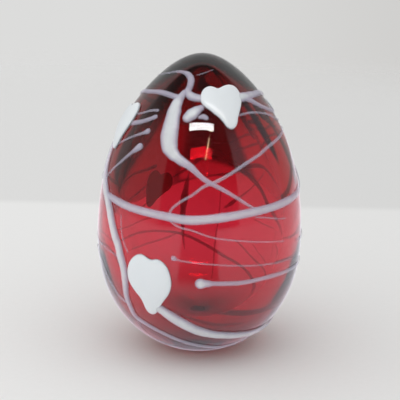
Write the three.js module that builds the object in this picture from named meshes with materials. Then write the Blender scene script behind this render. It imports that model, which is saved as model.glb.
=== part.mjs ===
// A hollow egg of blown glass that stands on its flat base. A thick casing of clear crystal lies over a
// bubble of ruby glass, and white opal glass is trailed over the outside in hearts and winding threads.
// Millimetres, +Z up, the origin at the middle of the flat base. Places on the outside are given by azimuth,
// which is 0 towards -Y and grows towards +X, and by latitude, which is 0 where the egg is widest and 90 at
// its tip, both in degrees.
import * as THREE from "three";
import { mergeVertices } from "three/addons/utils/BufferGeometryUtils.js";

// The egg's outside
const EGG_HEIGHT = 120;
const EGG_RADIUS = 41.2;
const WIDEST_HEIGHT = 46.5;
const BASE_RADIUS = 10.2;
const TIP_TAPER = 0.215;
const TIP_SHARPNESS = 4.2;
const LOWER_FULLNESS = 0.022;

// The two layers of the wall, and the hollow they enclose
const CASING_WALL = 5.1;
const CASING_FLOOR = 7.2;
const CASING_CROWN = 3.2;
const RUBY_WALL = 1.8;
const RUBY_FLOOR = 2.5;
const RUBY_CROWN = 4.5;
const HOLLOW_WIDEST_HEIGHT = 48;
const CASING_BORE_TAPER = 0.4;
const HOLLOW_TAPER = 0.52;
const HOLLOW_SHARPNESS = 2.5;
const FUSED_GAP = 0.3;

// The blow hole in the base and the dab of glass that closes it
const BLOW_HOLE_RADIUS = 4.5;
const SEAL_RECESS = 0.6;
const SEAL_DOME = 0.9;

// The trailed glass
const TRAIL_RISE_SHARE = 0.26;
const MOST_RISE = 1.2;
const LEAST_RISE = 0.35;
const HEART_RISE = 1.3;
const SIDE_CLEARANCE = 0.5;
const BRIDGE_SLOPE = 0.55;
const THREAD_WIDTH = 1.7;
const ROUND_END = Math.SQRT1_2;

// How finely the curved surfaces are cut into flats
const CASING_STEPS = 48;
const RUBY_STEPS = 40;
const SEAL_STEPS = 24;
const LOWER_RINGS = 8;
const UPPER_RINGS = 14;
const HEART_STEPS = 26;
const HEART_BEADS = 5;
const BEAD_STEP = 1.1;
const FLAT_TOLERANCE = 0.1;

const crystalGlass = new THREE.MeshStandardMaterial({
  color: 0xe8eef0,
  roughness: 0.03,
  transparent: true,
  opacity: 0.35,
});
const rubyGlass = new THREE.MeshStandardMaterial({
  color: 0xaa1420,
  roughness: 0.03,
  transparent: true,
  opacity: 0.8,
});
const opalGlass = new THREE.MeshStandardMaterial({ color: 0xdcdfe6, roughness: 0.12 });

// The outline of an egg: half an ellipse, a little fuller in its flanks, below its widest height, and a half
// ellipse that tapers above it.
class EggOutline {
  constructor({ radius, widest, lowerReach, top, taper, sharpness, fullness = 0 }) {
    this.radius = radius;
    this.widest = widest;
    this.lowerReach = lowerReach;
    this.upperReach = top - widest;
    this.taper = taper;
    this.sharpness = sharpness;
    this.fullness = fullness;
  }

  // The square of the radius at a height. It falls smoothly through zero at both ends.
  squareAt(z) {
    if (z < this.widest) {
      const down = (this.widest - z) / this.lowerReach;
      const fuller = 1 + 4 * this.fullness * down ** 2 * (1 - down ** 2);
      return this.radius ** 2 * (1 - down ** 2) * fuller ** 2;
    }
    const up = (z - this.widest) / this.upperReach;
    return this.radius ** 2 * (1 - up ** 2) * (1 - this.taper * up ** this.sharpness) ** 2;
  }

  radiusAt(z) {
    return Math.sqrt(Math.max(0, this.squareAt(z)));
  }

  // Points from the lower opening of the given radius up to the tip on the axis.
  points(openingRadius) {
    const list = [];
    const start = Math.asin(openingRadius / this.radius);
    for (let i = 0; i < LOWER_RINGS; i += 1) {
      const turn = start + ((Math.PI / 2 - start) * i) / LOWER_RINGS;
      const z = this.widest - this.lowerReach * Math.cos(turn);
      list.push(new THREE.Vector2(this.radiusAt(z), z));
    }
    for (let i = 0; i < UPPER_RINGS; i += 1) {
      const z = this.widest + this.upperReach * Math.sin((Math.PI / 2) * (i / UPPER_RINGS));
      list.push(new THREE.Vector2(this.radiusAt(z), z));
    }
    list.push(new THREE.Vector2(0, this.widest + this.upperReach));
    return list;
  }
}

const skin = new EggOutline({
  radius: EGG_RADIUS,
  widest: WIDEST_HEIGHT,
  lowerReach: WIDEST_HEIGHT / Math.sqrt(1 - (BASE_RADIUS / EGG_RADIUS) ** 2),
  top: EGG_HEIGHT,
  taper: TIP_TAPER,
  sharpness: TIP_SHARPNESS,
  fullness: LOWER_FULLNESS,
});

// One of the rounded surfaces inside the wall, a given way in from the outside at side, floor and crown.
function innerOutline(side, floor, crown, taper) {
  return new EggOutline({
    radius: EGG_RADIUS - side,
    widest: HOLLOW_WIDEST_HEIGHT,
    lowerReach: HOLLOW_WIDEST_HEIGHT - floor,
    top: EGG_HEIGHT - crown,
    taper,
    sharpness: HOLLOW_SHARPNESS,
  });
}

const casingBore = innerOutline(CASING_WALL, CASING_FLOOR, CASING_CROWN, CASING_BORE_TAPER);
const rubyOutside = innerOutline(
  CASING_WALL + FUSED_GAP,
  CASING_FLOOR + FUSED_GAP,
  CASING_CROWN + FUSED_GAP,
  CASING_BORE_TAPER,
);
const hollow = innerOutline(
  CASING_WALL + FUSED_GAP + RUBY_WALL,
  CASING_FLOOR + FUSED_GAP + RUBY_FLOOR,
  CASING_CROWN + FUSED_GAP + RUBY_CROWN,
  HOLLOW_TAPER,
);

// Merges the vertices that coincide and drops the triangles that this leaves without an area.
function closed(geometry) {
  geometry.deleteAttribute("normal");
  geometry.deleteAttribute("uv");
  const merged = mergeVertices(geometry, 1e-4);
  const kept = [];
  for (let i = 0; i < merged.index.count; i += 3) {
    const [a, b, c] = [0, 1, 2].map((k) => merged.index.getX(i + k));
    if (a !== b && b !== c && c !== a) kept.push(a, b, c);
  }
  merged.setIndex(kept);
  merged.computeVertexNormals();
  return merged;
}

// Turns a closed profile, given as radius and height, round the vertical axis.
function turned(profile, steps) {
  const lathe = new THREE.LatheGeometry(profile, steps);
  lathe.rotateX(Math.PI / 2);
  return closed(lathe);
}

// A shell between two outlines, open at the blow hole in its floor.
function shell(outside, inside, steps) {
  const edge = new THREE.Vector2(BLOW_HOLE_RADIUS, outside[0].y);
  return turned([edge, ...outside, ...inside.points(BLOW_HOLE_RADIUS).reverse(), edge], steps);
}

function clearCasing() {
  return shell(skin.points(BASE_RADIUS), casingBore, CASING_STEPS);
}

function rubyBubble() {
  return shell(rubyOutside.points(BLOW_HOLE_RADIUS), hollow, RUBY_STEPS);
}

// The dab of clear glass in the blow hole, set back a little from the base it is ground on.
function baseSeal() {
  const radius = BLOW_HOLE_RADIUS - FUSED_GAP;
  const top = hollow.points(BLOW_HOLE_RADIUS)[0].y;
  const dome = [1, 0.5, 0].map(
    (share) => new THREE.Vector2(radius * share, top + SEAL_DOME * (1 - share ** 2)),
  );
  const underside = [new THREE.Vector2(0, SEAL_RECESS), new THREE.Vector2(radius, SEAL_RECESS)];
  return turned([...underside, ...dome], SEAL_STEPS);
}

// A closed skin over a row of rings of points, with a single point at each end.
function loft(first, rings, last) {
  const around = rings[0].length;
  const index = [];
  const lastIndex = 1 + rings.length * around;
  for (let i = 0; i < around; i += 1) {
    const next = (i + 1) % around;
    index.push(0, 1 + next, 1 + i);
    for (let ring = 0; ring < rings.length - 1; ring += 1) {
      const near = 1 + ring * around;
      const far = near + around;
      index.push(near + i, near + next, far + next, near + i, far + next, far + i);
    }
    const end = lastIndex - around;
    index.push(end + i, end + next, lastIndex);
  }
  const places = [first, ...rings.flat(), last];
  const geometry = new THREE.BufferGeometry().setFromPoints(places);
  geometry.setIndex(index);
  geometry.computeVertexNormals();
  return geometry;
}

// How fast, and which way, the distance out of the skin grows at a place near it.
function uphill({ x, y, z }) {
  const small = 0.01;
  const slope = (skin.squareAt(z + small) - skin.squareAt(z - small)) / (2 * small);
  return new THREE.Vector3(2 * x, 2 * y, -slope);
}

// The direction that points straight out of the egg at a place near its skin.
function outward(place) {
  return uphill(place).normalize();
}

// The place on the skin nearest to a place beside it, then raised straight out of it.
function onSkin(place, rise = 0) {
  const settled = place.clone();
  for (let i = 0; i < 4; i += 1) {
    const away = uphill(settled);
    const excess = settled.x ** 2 + settled.y ** 2 - skin.squareAt(settled.z);
    settled.addScaledVector(away, -excess / away.lengthSq());
  }
  return settled.addScaledVector(outward(settled), rise);
}

// The place on the skin at an azimuth and a latitude.
function at(azimuth, latitude) {
  const angle = THREE.MathUtils.degToRad(azimuth);
  const rise = Math.sin(THREE.MathUtils.degToRad(latitude));
  const z = skin.widest + rise * (rise < 0 ? skin.lowerReach : skin.upperReach);
  const radius = skin.radiusAt(z);
  return new THREE.Vector3(radius * Math.sin(angle), -radius * Math.cos(angle), z);
}

// Every bead of glass laid so far: where it is, how wide and how high above the skin. A trail laid later
// stops short of a bead at its end and bridges over one on its way.
const laid = [];

// The outlines of the two hearts that the photograph shows from the front, in millimetres to the right of
// their middles and up, from the shallow dip round by the left lobe. Both end in a round drop of glass.
const HEART_FORMS = {
  slanting: [
    [-0.3, 6.4], [-1.6, 7.1], [-3.1, 7.6], [-5, 7.1], [-6.6, 5.5], [-7.6, 2.9], [-7.6, 1],
    [-6.7, -0.8], [-5.2, -2.4], [-3.3, -4.5], [-1.8, -6.1], [-0.5, -8], [0.7, -10], [2.3, -10.8],
    [3.9, -10.2], [5.1, -8.4], [5.7, -6.4], [6.6, -4.2], [7.8, -1.6], [8.7, 1.2], [9, 3.7],
    [8.6, 6.1], [7.2, 7.9], [5.1, 8.4], [2.8, 7.8], [1.1, 6.9],
  ],
  hanging: [
    [0.8, 8.6], [-0.9, 9], [-2.5, 9.8], [-4.6, 10], [-7.2, 8.6], [-9.4, 5.9], [-10.6, 2.2],
    [-10.3, -1.3], [-9.1, -3.8], [-7, -6.3], [-5.1, -8.4], [-4.1, -10.8], [-3.5, -13.4],
    [-2.3, -15.2], [-0.8, -15.6], [0.9, -14.6], [2.5, -12.1], [4, -9.6], [5.6, -7.3], [7.3, -4.8],
    [8.5, -1.7], [8.7, 0.9], [8.2, 3.7], [7.1, 6.4], [5.1, 8.4], [2.9, 9.1],
  ],
};

// A heart's outline at even steps.
function heartOutline(form, steps) {
  const stops = HEART_FORMS[form].map(([across, up]) => new THREE.Vector3(across, up, 0));
  const outline = new THREE.CatmullRomCurve3(stops, true, "centripetal");
  return outline.getSpacedPoints(steps).slice(1);
}

// A heart's section from the middle underneath, round its edge, to the middle on top: the share of the
// outline and the share of the rise.
const HEART_SECTION = [
  [0.55, 0],
  [0.97, 0],
  [1, 0.5],
  [0.86, 0.9],
  [0.5, 1],
];

// A heart pressed on the skin.
function heart({ azimuth, latitude, turn, size, form }) {
  const centre = at(azimuth, latitude);
  const out = outward(centre);
  const east = new THREE.Vector3(0, 0, 1).cross(out).normalize();
  const north = out.clone().cross(east);
  const lean = THREE.MathUtils.degToRad(turn);
  const placeAt = (point, share, rise) => {
    const u = point.x * share * size;
    const v = point.y * share * size;
    const across = u * Math.cos(lean) - v * Math.sin(lean);
    const up = u * Math.sin(lean) + v * Math.cos(lean);
    return onSkin(centre.clone().addScaledVector(east, across).addScaledVector(north, up), rise);
  };
  const outline = heartOutline(form, HEART_STEPS);
  const rings = HEART_SECTION.map(([share, level]) =>
    outline.map((point) => placeAt(point, share, FUSED_GAP + level * HEART_RISE)),
  );
  const middle = new THREE.Vector2(0, 0);
  const top = FUSED_GAP + HEART_RISE;
  for (let share = HEART_BEADS; share > 0; share -= 1) {
    for (const point of heartOutline(form, HEART_STEPS * 2)) {
      laid.push({ place: placeAt(point, (share - 0.2) / HEART_BEADS, 0), half: 0.4, top });
    }
  }
  return loft(placeAt(middle, 0, FUSED_GAP), rings, placeAt(middle, 0, top));
}

// The height of the glass already laid within reach of a bead, or zero where the skin is bare.
function heightUnder(bead) {
  let height = 0;
  for (const other of laid) {
    const reach = bead.half + other.half + SIDE_CLEARANCE;
    if (other.top > height && bead.place.distanceTo(other.place) < reach) height = other.top;
  }
  return height;
}

// Beads at even steps along a route of [azimuth, latitude, width].
function beadsAlong(route) {
  const stops = route.map(([azimuth, latitude]) => at(azimuth, latitude));
  const curve = new THREE.CatmullRomCurve3(stops, false, "centripetal");
  const count = Math.max(3, Math.round(curve.getLength() / BEAD_STEP));
  const beads = [];
  for (let i = 0; i <= count; i += 1) {
    const share = curve.getUtoTmapping(i / count);
    const passed = Math.min(Math.floor(share * (route.length - 1)), route.length - 2);
    const onward = THREE.MathUtils.smoothstep(share * (route.length - 1) - passed, 0, 1);
    const width = THREE.MathUtils.lerp(route[passed][2], route[passed + 1][2], onward);
    beads.push({
      place: onSkin(curve.getPoint(share)),
      half: width / 2,
      rise: THREE.MathUtils.clamp(width * TRAIL_RISE_SHARE, LEAST_RISE, MOST_RISE),
    });
  }
  return beads;
}

// Takes off the beads at both ends that would touch glass already laid.
function trimmed(beads) {
  const under = beads.map(heightUnder);
  let first = 0;
  let last = beads.length - 1;
  while (first < last - 2 && under[first] > 0) first += 1;
  while (last > first + 2 && under[last] > 0) last -= 1;
  return beads.slice(first, last + 1).map((bead, i) => ({ ...bead, under: under[first + i] }));
}

// Raises the beads that cross earlier glass, and slopes the trail down from them on both sides.
function bridged(beads) {
  return beads.map((bead) => {
    let lift = 0;
    for (const other of beads) {
      const down = BRIDGE_SLOPE * bead.place.distanceTo(other.place);
      lift = Math.max(lift, other.under - down);
    }
    return { ...bead, bottom: FUSED_GAP + lift, top: FUSED_GAP + lift + bead.rise };
  });
}

// Leaves out the beads that lie on a straight line between their neighbours, within the tolerance.
function thinned(beads) {
  const straight = (from, to) => {
    const start = beads[from];
    const end = beads[to];
    for (let i = from + 1; i < to; i += 1) {
      const share = (i - from) / (to - from);
      const bead = beads[i];
      const place = start.place.clone().lerp(end.place, share);
      const half = THREE.MathUtils.lerp(start.half, end.half, share);
      const bottom = THREE.MathUtils.lerp(start.bottom, end.bottom, share);
      const off = Math.max(
        bead.place.distanceTo(place),
        Math.abs(bead.half - half),
        Math.abs(bead.bottom - bottom),
      );
      if (off > FLAT_TOLERANCE) return false;
    }
    return true;
  };
  const kept = [beads[0]];
  let from = 0;
  for (let to = 2; to < beads.length; to += 1) {
    if (!straight(from, to)) {
      kept.push(beads[to - 1]);
      from = to - 1;
    }
  }
  kept.push(beads[beads.length - 1]);
  return kept;
}

// The section of a trail, in shares of half its width and of its rise.
const BROAD_SECTION = [
  [-1, 0],
  [0, 0],
  [1, 0],
  [0.72, 0.8],
  [0, 1],
  [-0.72, 0.8],
];
const THREAD_SECTION = [
  [-1, 0],
  [1, 0],
  [0.5, 1],
  [-0.5, 1],
];

// A trail of glass along a route, with a low domed section and round ends.
function trail(route) {
  const beads = bridged(trimmed(beadsAlong(route)));
  for (const bead of beads) laid.push(bead);
  const kept = thinned(beads);
  const broad = kept.some((bead) => bead.half * 2 > THREAD_WIDTH);
  const section = broad ? BROAD_SECTION : THREAD_SECTION;
  const ahead = kept.map((bead, i) => {
    const before = kept[Math.max(0, i - 1)].place;
    const after = kept[Math.min(kept.length - 1, i + 1)].place;
    return after.clone().sub(before).normalize();
  });
  const ringAt = (bead, direction, forward, share) => {
    const out = outward(bead.place);
    const side = out.clone().cross(direction).normalize();
    const centre = bead.place.clone().addScaledVector(direction, forward);
    return section.map(([across, up]) =>
      onSkin(
        centre.clone().addScaledVector(side, across * share * bead.half),
        bead.bottom + up * share * bead.rise,
      ),
    );
  };
  const endPoint = (bead, direction, forward) =>
    onSkin(bead.place.clone().addScaledVector(direction, forward), bead.bottom + bead.rise * 0.3);
  const start = kept[0];
  const end = kept[kept.length - 1];
  const startWay = ahead[0];
  const endWay = ahead[ahead.length - 1];
  const rings = [
    ringAt(start, startWay, -ROUND_END * start.half, ROUND_END),
    ...kept.map((bead, i) => ringAt(bead, ahead[i], 0, 1)),
    ringAt(end, endWay, ROUND_END * end.half, ROUND_END),
  ];
  return loft(endPoint(start, startWay, -start.half), rings, endPoint(end, endWay, end.half));
}

const egg = new THREE.Group();

function add(name, geometry, material) {
  const mesh = new THREE.Mesh(geometry, material);
  mesh.name = name;
  egg.add(mesh);
}

add("clear_casing", clearCasing(), crystalGlass);
add("ruby_bubble", rubyBubble(), rubyGlass);
add("base_seal", baseSeal(), crystalGlass);

// Each heart: where its middle lies, how far it leans in degrees, how large it is against the form that it
// follows, and that form.
const hearts = {
  heart_upper: { azimuth: 17.2, latitude: 51.1, turn: 0, size: 1, form: "slanting" },
  heart_lower: { azimuth: -26.1, latitude: -9.7, turn: 0, size: 1, form: "hanging" },
  heart_left: { azimuth: -78, latitude: 39.5, turn: 8, size: 1.06, form: "slanting" },
  heart_back: { azimuth: 212, latitude: 12.5, turn: 11, size: 1, form: "slanting" },
  heart_right: { azimuth: 112, latitude: 43, turn: -6, size: 0.7, form: "slanting" },
};
for (const [name, size] of Object.entries(hearts)) {
  add(name, heart(size), opalGlass);
}

// Each trail: stops of azimuth, latitude and width, in the order in which the trails were laid.
const trails = {
  leaf_trail: [
    [-18.3, 55.4, 3],
    [-20.5, 53.3, 3.4],
    [-22.6, 50.2, 4.8],
    [-22.9, 46.1, 6.2],
    [-22.5, 41.5, 7.1],
    [-22, 37.8, 7.2],
    [-20.2, 34.7, 6.6],
    [-17.4, 32.7, 5.2],
    [-13.3, 31.1, 3.9],
    [-5.8, 28.8, 3],
    [-1.7, 26.9, 2.5],
    [2.9, 24.9, 2.3],
    [12.4, 22.1, 1.9],
    [22.5, 18.6, 1.6],
    [28.5, 16.4, 1.4],
    [33.5, 14.9, 1.3],
  ],
  left_trail: [
    [-79, 33, 2.8],
    [-78, 28, 3.6],
    [-77, 23.5, 4.2],
    [-70, 18.5, 4.4],
    [-60, 13, 4.6],
    [-51.5, 5, 4.6],
    [-48, 2, 4.5],
    [-46.2, -1.2, 4.4],
    [-43.8, -7.2, 4.2],
    [-43.9, -13.9, 3.8],
    [-45.1, -21.3, 3.4],
    [-44.4, -27.4, 3.2],
    [-43.2, -33, 3],
    [-34.5, -37.5, 2.7],
    [-25.6, -41.5, 2.5],
    [-16.6, -45.5, 2.5],
    [-6.7, -49.5, 2.6],
    [4.6, -52.8, 2.6],
    [18, -55.9, 2.4],
    [30, -57, 2.2],
    [46, -56.5, 2],
    [62, -55, 1.4],
  ],
  belt_trail: [
    [-67, 16, 3],
    [-56, 15.5, 3.3],
    [-40, 14.5, 3.4],
    [-16, 13.5, 3.5],
    [-6, 13, 3.8],
    [7, 13.5, 3.8],
    [24, 14.5, 3.6],
    [49, 15.5, 3.5],
    [78, 17, 3.2],
    [90, 19.5, 3],
    [102, 23, 2.8],
    [117, 24.5, 2.6],
    [132, 23.5, 2.6],
    [146, 21, 2.6],
    [157, 18, 2],
    [176, 16, 1.4],
  ],
  bottom_trail: [
    [-25, -22.5, 4.2],
    [-20.4, -25, 4.6],
    [-15, -28.4, 5.2],
    [-8, -32.4, 5.6],
    [-0.5, -36.3, 5.4],
    [12.7, -40.3, 4.6],
    [20.4, -41.7, 4.4],
    [32, -43.4, 4.4],
    [47.4, -45, 4.2],
    [68, -45, 3.6],
    [90, -42.5, 2.8],
    [118, -38.5, 2],
    [137, -33.5, 1.8],
    [150, -29.5, 2],
    [168, -22.5, 2],
    [192, -12.5, 1.8],
    [205, -10, 1.5],
    [230, -8, 1.4],
    [248, -8.5, 1.4],
    [266, -7, 1.4],
    [279, -5, 1.5],
    [288, -7.3, 1.5],
    [295.4, -13.5, 1.6],
    [301.6, -18.9, 1.7],
    [306.7, -23.4, 1.7],
    [312.4, -25.6, 1.6],
  ],
  back_sweep: [
    [200, 16, 1.6],
    [190, 19, 2],
    [180, 23, 2.2],
    [168, 25.5, 2.6],
    [157, 23.5, 2.8],
    [148, 20.5, 3],
    [139, 18, 3.2],
    [130, 14, 3.2],
    [122, 9, 3.2],
    [111, 5, 3],
    [94, 2, 2.4],
    [80, 1.5, 1.6],
    [66, 2.5, 0.9],
  ],
  cross_trail: [
    [152, 27, 1.1],
    [138, 30, 1.3],
    [120, 33.5, 1.4],
    [102, 36, 1.5],
    [91, 37.5, 1.6],
    [81, 37, 1.6],
    [62, 35.5, 1.6],
    [49, 34, 1.6],
    [37, 31.5, 1.6],
    [27.4, 29.5, 1.6],
    [18.3, 27, 1.5],
    [9, 24.5, 1.6],
    [2, 23, 1.5],
    [-4, 20.5, 1.3],
    [-11, 18, 1.2],
    [-15.5, 15.5, 1.2],
    [-16, 13, 1.2],
    [-11.5, 11, 1.1],
    [-4, 10, 1],
    [7, 8, 0.9],
    [23, 6.5, 0.8],
    [52, 4, 0.8],
  ],
  crown_hook: [
    [215, 54, 0.8],
    [240, 58, 1],
    [262, 61, 1],
    [282, 62.6, 1],
    [299.5, 64.3, 1.1],
    [313, 65.9, 1.3],
    [327.2, 66.2, 1.9],
    [339.1, 64.9, 2.7],
    [345.4, 61.9, 2.9],
    [345.8, 58.5, 2.7],
    [345.2, 55.9, 3.2],
    [349.6, 54, 3.7],
    [357.5, 53.2, 3.4],
    [362.3, 53.1, 3],
  ],
  shoulder_trail: [
    [185, 34.5, 1],
    [205, 38, 1.6],
    [225, 43.5, 2],
    [250, 48.5, 2.2],
    [272, 52, 2.3],
    [288.5, 53.3, 2.3],
    [296.8, 53.7, 2.3],
    [310.4, 54.4, 2.4],
    [322.1, 54.2, 2.5],
    [330.1, 53.6, 2.6],
    [337, 53, 3],
  ],
  small_drop: [
    [-10.8, 45.3, 4.2],
    [-7.8, 46.7, 5],
    [-4.4, 48.1, 4],
    [-0.8, 49.3, 2.8],
  ],
  tiny_drop: [
    [-1.6, 45.6, 1.8],
    [1.3, 45.9, 2.4],
    [3.4, 45.4, 2.2],
  ],
  arm_wide: [
    [37, 53, 4.6],
    [44, 53.2, 4.2],
    [50.1, 53.4, 3.6],
    [64.2, 53.6, 3],
    [82.1, 53.2, 2.8],
    [97, 51.5, 2.8],
  ],
  arm_fork: [
    [45, 52.4, 2.8],
    [50.7, 51.2, 2.7],
    [56.6, 49.5, 2.5],
    [63.6, 47.8, 2.4],
    [73, 46.1, 2.3],
    [84, 44.8, 2.2],
    [97, 44.5, 2],
  ],
  arm_thin: [
    [30.5, 46, 1.2],
    [39, 46.6, 1.2],
    [49.3, 46.4, 1.3],
    [63.7, 44.9, 1.3],
    [80, 41.8, 1.3],
    [100, 39.5, 1.3],
    [116, 38, 1.3],
    [130, 36, 1.3],
    [143, 33, 1.4],
    [157, 30, 1.2],
    [171, 29, 0.8],
  ],
  crown_thread: [
    [-8, 65, 0.6],
    [3, 66.5, 0.6],
    [18, 68.5, 0.6],
  ],
  dash_top: [
    [-66, 43.5, 1.2],
    [-54, 45, 1.2],
    [-46, 46.5, 1.2],
    [-38.5, 47, 1.5],
  ],
  dash_upper: [
    [-59.5, 40.5, 2.4],
    [-49.3, 42, 2.2],
    [-42.3, 43.5, 2.1],
    [-38, 44.5, 2.2],
  ],
  dash_middle: [
    [-67, 32.5, 1.3],
    [-53.7, 36, 1.3],
    [-44.5, 38, 1.5],
    [-40, 39, 2.7],
  ],
  dash_lower: [
    [-71, 21, 1.3],
    [-57, 27, 1.5],
    [-48.5, 31, 1.8],
    [-42.5, 33.5, 3.2],
  ],
  left_back_trail: [
    [-78, 19.5, 2],
    [-90, 19.5, 2],
    [-114, 20.5, 2],
    [-131, 21, 2.2],
    [-142, 21.5, 2.4],
  ],
  belt_tail: [
    [31.5, 13.1, 0.8],
    [40, 12.3, 0.8],
    [48.5, 11.2, 0.8],
    [54, 10.8, 0.7],
  ],
  low_thread: [
    [-44, -36, 1.3],
    [-44.1, -39, 1.3],
    [-45.2, -43.2, 1.3],
    [-42.5, -47.6, 1.3],
    [-39, -52.2, 1.3],
    [-31, -56, 1.4],
    [-17, -59, 1.5],
    [4, -61, 1.5],
    [24, -62, 1.4],
    [50, -61, 1.1],
  ],
  left_thread: [
    [-47.5, 11.5, 0.7],
    [-45.8, 6, 0.9],
    [-43.3, 3, 0.9],
    [-40.5, 1, 0.8],
  ],
  side_thread: [
    [-48, -2, 1],
    [-59.3, -1, 1],
    [-72, 0, 1],
    [-90, 0.5, 1],
    [-116, -2, 1],
    [-135, -0.5, 1],
    [-144, 0, 0.9],
  ],
  ball_thread: [
    [-13, 1.5, 2.4],
    [-10.5, 1, 0.9],
    [-3.2, 0.5, 0.8],
    [7, 0, 0.8],
    [24, -1.5, 0.8],
    [44, -3, 0.8],
    [62, -3.5, 0.7],
  ],
  ball_trail: [
    [1.2, -9, 4.6],
    [4.5, -9, 3.4],
    [8, -9, 2.3],
    [24, -9.5, 2.2],
    [40, -9, 2.2],
    [67, -9.5, 2],
    [85, -10, 1.9],
    [102, -8.5, 1.5],
  ],
  spindle_trail: [
    [188.5, 18, 0.8],
    [190, 12, 2.8],
    [191, 7.5, 4.4],
    [192, 2, 3.2],
    [192, -5.5, 2.2],
    [192, -12.5, 1.6],
    [191, -22.5, 0.8],
  ],
  fork_trail: [
    [153, -14.5, 1],
    [144, -19, 1.3],
    [131, -24.5, 1.5],
    [115, -28, 1.3],
    [100, -30, 1.2],
    [84, -30.5, 1],
  ],
  fork_thread: [
    [136, -15, 0.8],
    [124, -20.5, 0.8],
    [113, -24.5, 0.8],
  ],
  upright_thread: [
    [105, -0.5, 1],
    [109.5, -10, 1.1],
    [107, -19, 1],
    [106, -26, 0.9],
  ],
  drop_trail: [
    [119, 22, 0.9],
    [130, 18, 1],
    [141, 13, 1],
    [150, 9, 1.4],
    [157, 6, 2.6],
    [162, 4, 1.4],
  ],
  back_thread: [
    [165, 11.5, 0.8],
    [166.5, 1, 0.8],
    [168, -16.5, 1],
    [168, -25.5, 1],
    [166, -44.5, 0.8],
  ],
  short_thread: [
    [138, 0.5, 1],
    [123, -0.5, 1],
    [111, 0, 1],
  ],
  branch_thread: [
    [242, -16.5, 1],
    [229, -16.5, 1.1],
    [214, -15.5, 1.2],
    [203, -14, 1.2],
    [197, -12, 1],
  ],
  heart_tail: [
    [222, 14.5, 1.4],
    [233, 12, 1.8],
    [243, 9.5, 1.2],
    [252, 6.5, 0.8],
  ],
  point_tail: [
    [214, 7.5, 1.2],
    [222, 6, 1.4],
    [231, 4.5, 0.9],
  ],
};
for (const [name, route] of Object.entries(trails)) {
  add(name, trail(route), opalGlass);
}

export default egg;
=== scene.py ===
"""A hollow egg of blown art glass on a flat base, dressed for its photograph.

A clear crystal casing lies over a ruby bubble, and the bubble holds a sealed pocket of air. Hearts and
trails of white opal glass are fused to the outside. In the real egg all of these are one piece of glass, so
light bends only where glass meets air: at the casing's outer skin and at the skin of the hollow. The casing
piece therefore holds both of these skins. The ruby bubble lies inside that wall, colours the light that
passes and doesn't bend it, and the hearts and trails are sunk a little way into the casing, so that they
show from inside too.
"""

import logging
import math
from collections.abc import Sequence
from dataclasses import dataclass, fields
from enum import Enum
from functools import partial

import bpy
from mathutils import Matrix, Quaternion, Vector


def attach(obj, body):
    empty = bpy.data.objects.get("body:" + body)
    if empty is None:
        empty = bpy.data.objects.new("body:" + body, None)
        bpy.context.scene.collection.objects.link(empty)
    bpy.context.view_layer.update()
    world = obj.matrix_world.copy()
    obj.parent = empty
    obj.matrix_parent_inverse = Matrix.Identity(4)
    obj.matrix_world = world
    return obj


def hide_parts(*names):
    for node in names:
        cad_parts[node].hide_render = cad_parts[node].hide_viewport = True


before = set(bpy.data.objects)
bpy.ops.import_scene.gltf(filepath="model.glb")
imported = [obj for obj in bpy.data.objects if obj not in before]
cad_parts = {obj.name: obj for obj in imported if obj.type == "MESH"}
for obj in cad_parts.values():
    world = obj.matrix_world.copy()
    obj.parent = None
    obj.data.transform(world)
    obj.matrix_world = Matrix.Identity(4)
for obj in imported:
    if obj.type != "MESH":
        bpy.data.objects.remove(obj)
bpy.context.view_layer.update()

MM = 0.001
WELD = 0.001 * MM
LEAST_SPAN = 0.1 * MM
SIDES = ("Outer", "Inner")
BODY = "root"
LOG = logging.getLogger("glass_egg")

MATH, VECTOR_MATH = "ShaderNodeMath", "ShaderNodeVectorMath"
NOISE, PARTS = "ShaderNodeTexNoise", "ShaderNodeSeparateXYZ"

Colour = tuple[float, float, float, float]
Stop = tuple[float, float, float]
Node = bpy.types.Node
Tree = bpy.types.NodeTree
Given = bpy.types.NodeOutputs

# What a maths node can do, by Blender's names.
Sum = Enum(
    "Sum",
    "ABSOLUTE ADD ARCTAN2 CEIL COSINE DIVIDE EXPONENT GREATER_THAN LESS_THAN MAXIMUM "
    "MINIMUM MULTIPLY MULTIPLY_ADD POWER SINE SMOOTH_MAX SUBTRACT",
)


class Blend(Enum):
    """Nodes that pass from one value to another: their kind, their option, and the inputs in use.

    The inputs are the share, or for EASE the value that it is told from, and then the start and the end.
    """

    EASE = ("ShaderNodeMapRange", "interpolation_type", "SMOOTHSTEP", (0, 1, 2))
    COLOUR = ("ShaderNodeMix", "data_type", "RGBA", (0, 6, 7))
    NUMBER = ("ShaderNodeMix", "data_type", "FLOAT", (0, 2, 3))


class Slot(Enum):
    """The material slots of the record."""

    CRYSTAL = "clear_crystal"
    RUBY = "ruby_glass"
    OPAL = "opal_glass"


class Socket(Enum):
    """Kinds of named input that a Geometry Nodes tree takes."""

    NUMBER = "NodeSocketFloat"
    COUNT = "NodeSocketInt"
    PLACE = "NodeSocketVector"
    MATERIAL = "NodeSocketMaterial"
    OBJECT = "NodeSocketObject"
    SHAPE = "NodeSocketGeometry"


def linear(hex_colour: str) -> Colour:
    """Turn an sRGB hex colour into the linear colour that the shaders take.

    Args:
        hex_colour: Six hex digits after a hash sign.

    Returns:
        Linear red, green, blue and an alpha of 1.
    """
    shares = [int(hex_colour[i : i + 2], 16) / 255 for i in (1, 3, 5)]
    light = [s / 12.92 if s <= 0.04045 else ((s + 0.055) / 1.055) ** 2.4 for s in shares]
    return (light[0], light[1], light[2], 1.0)


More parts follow.
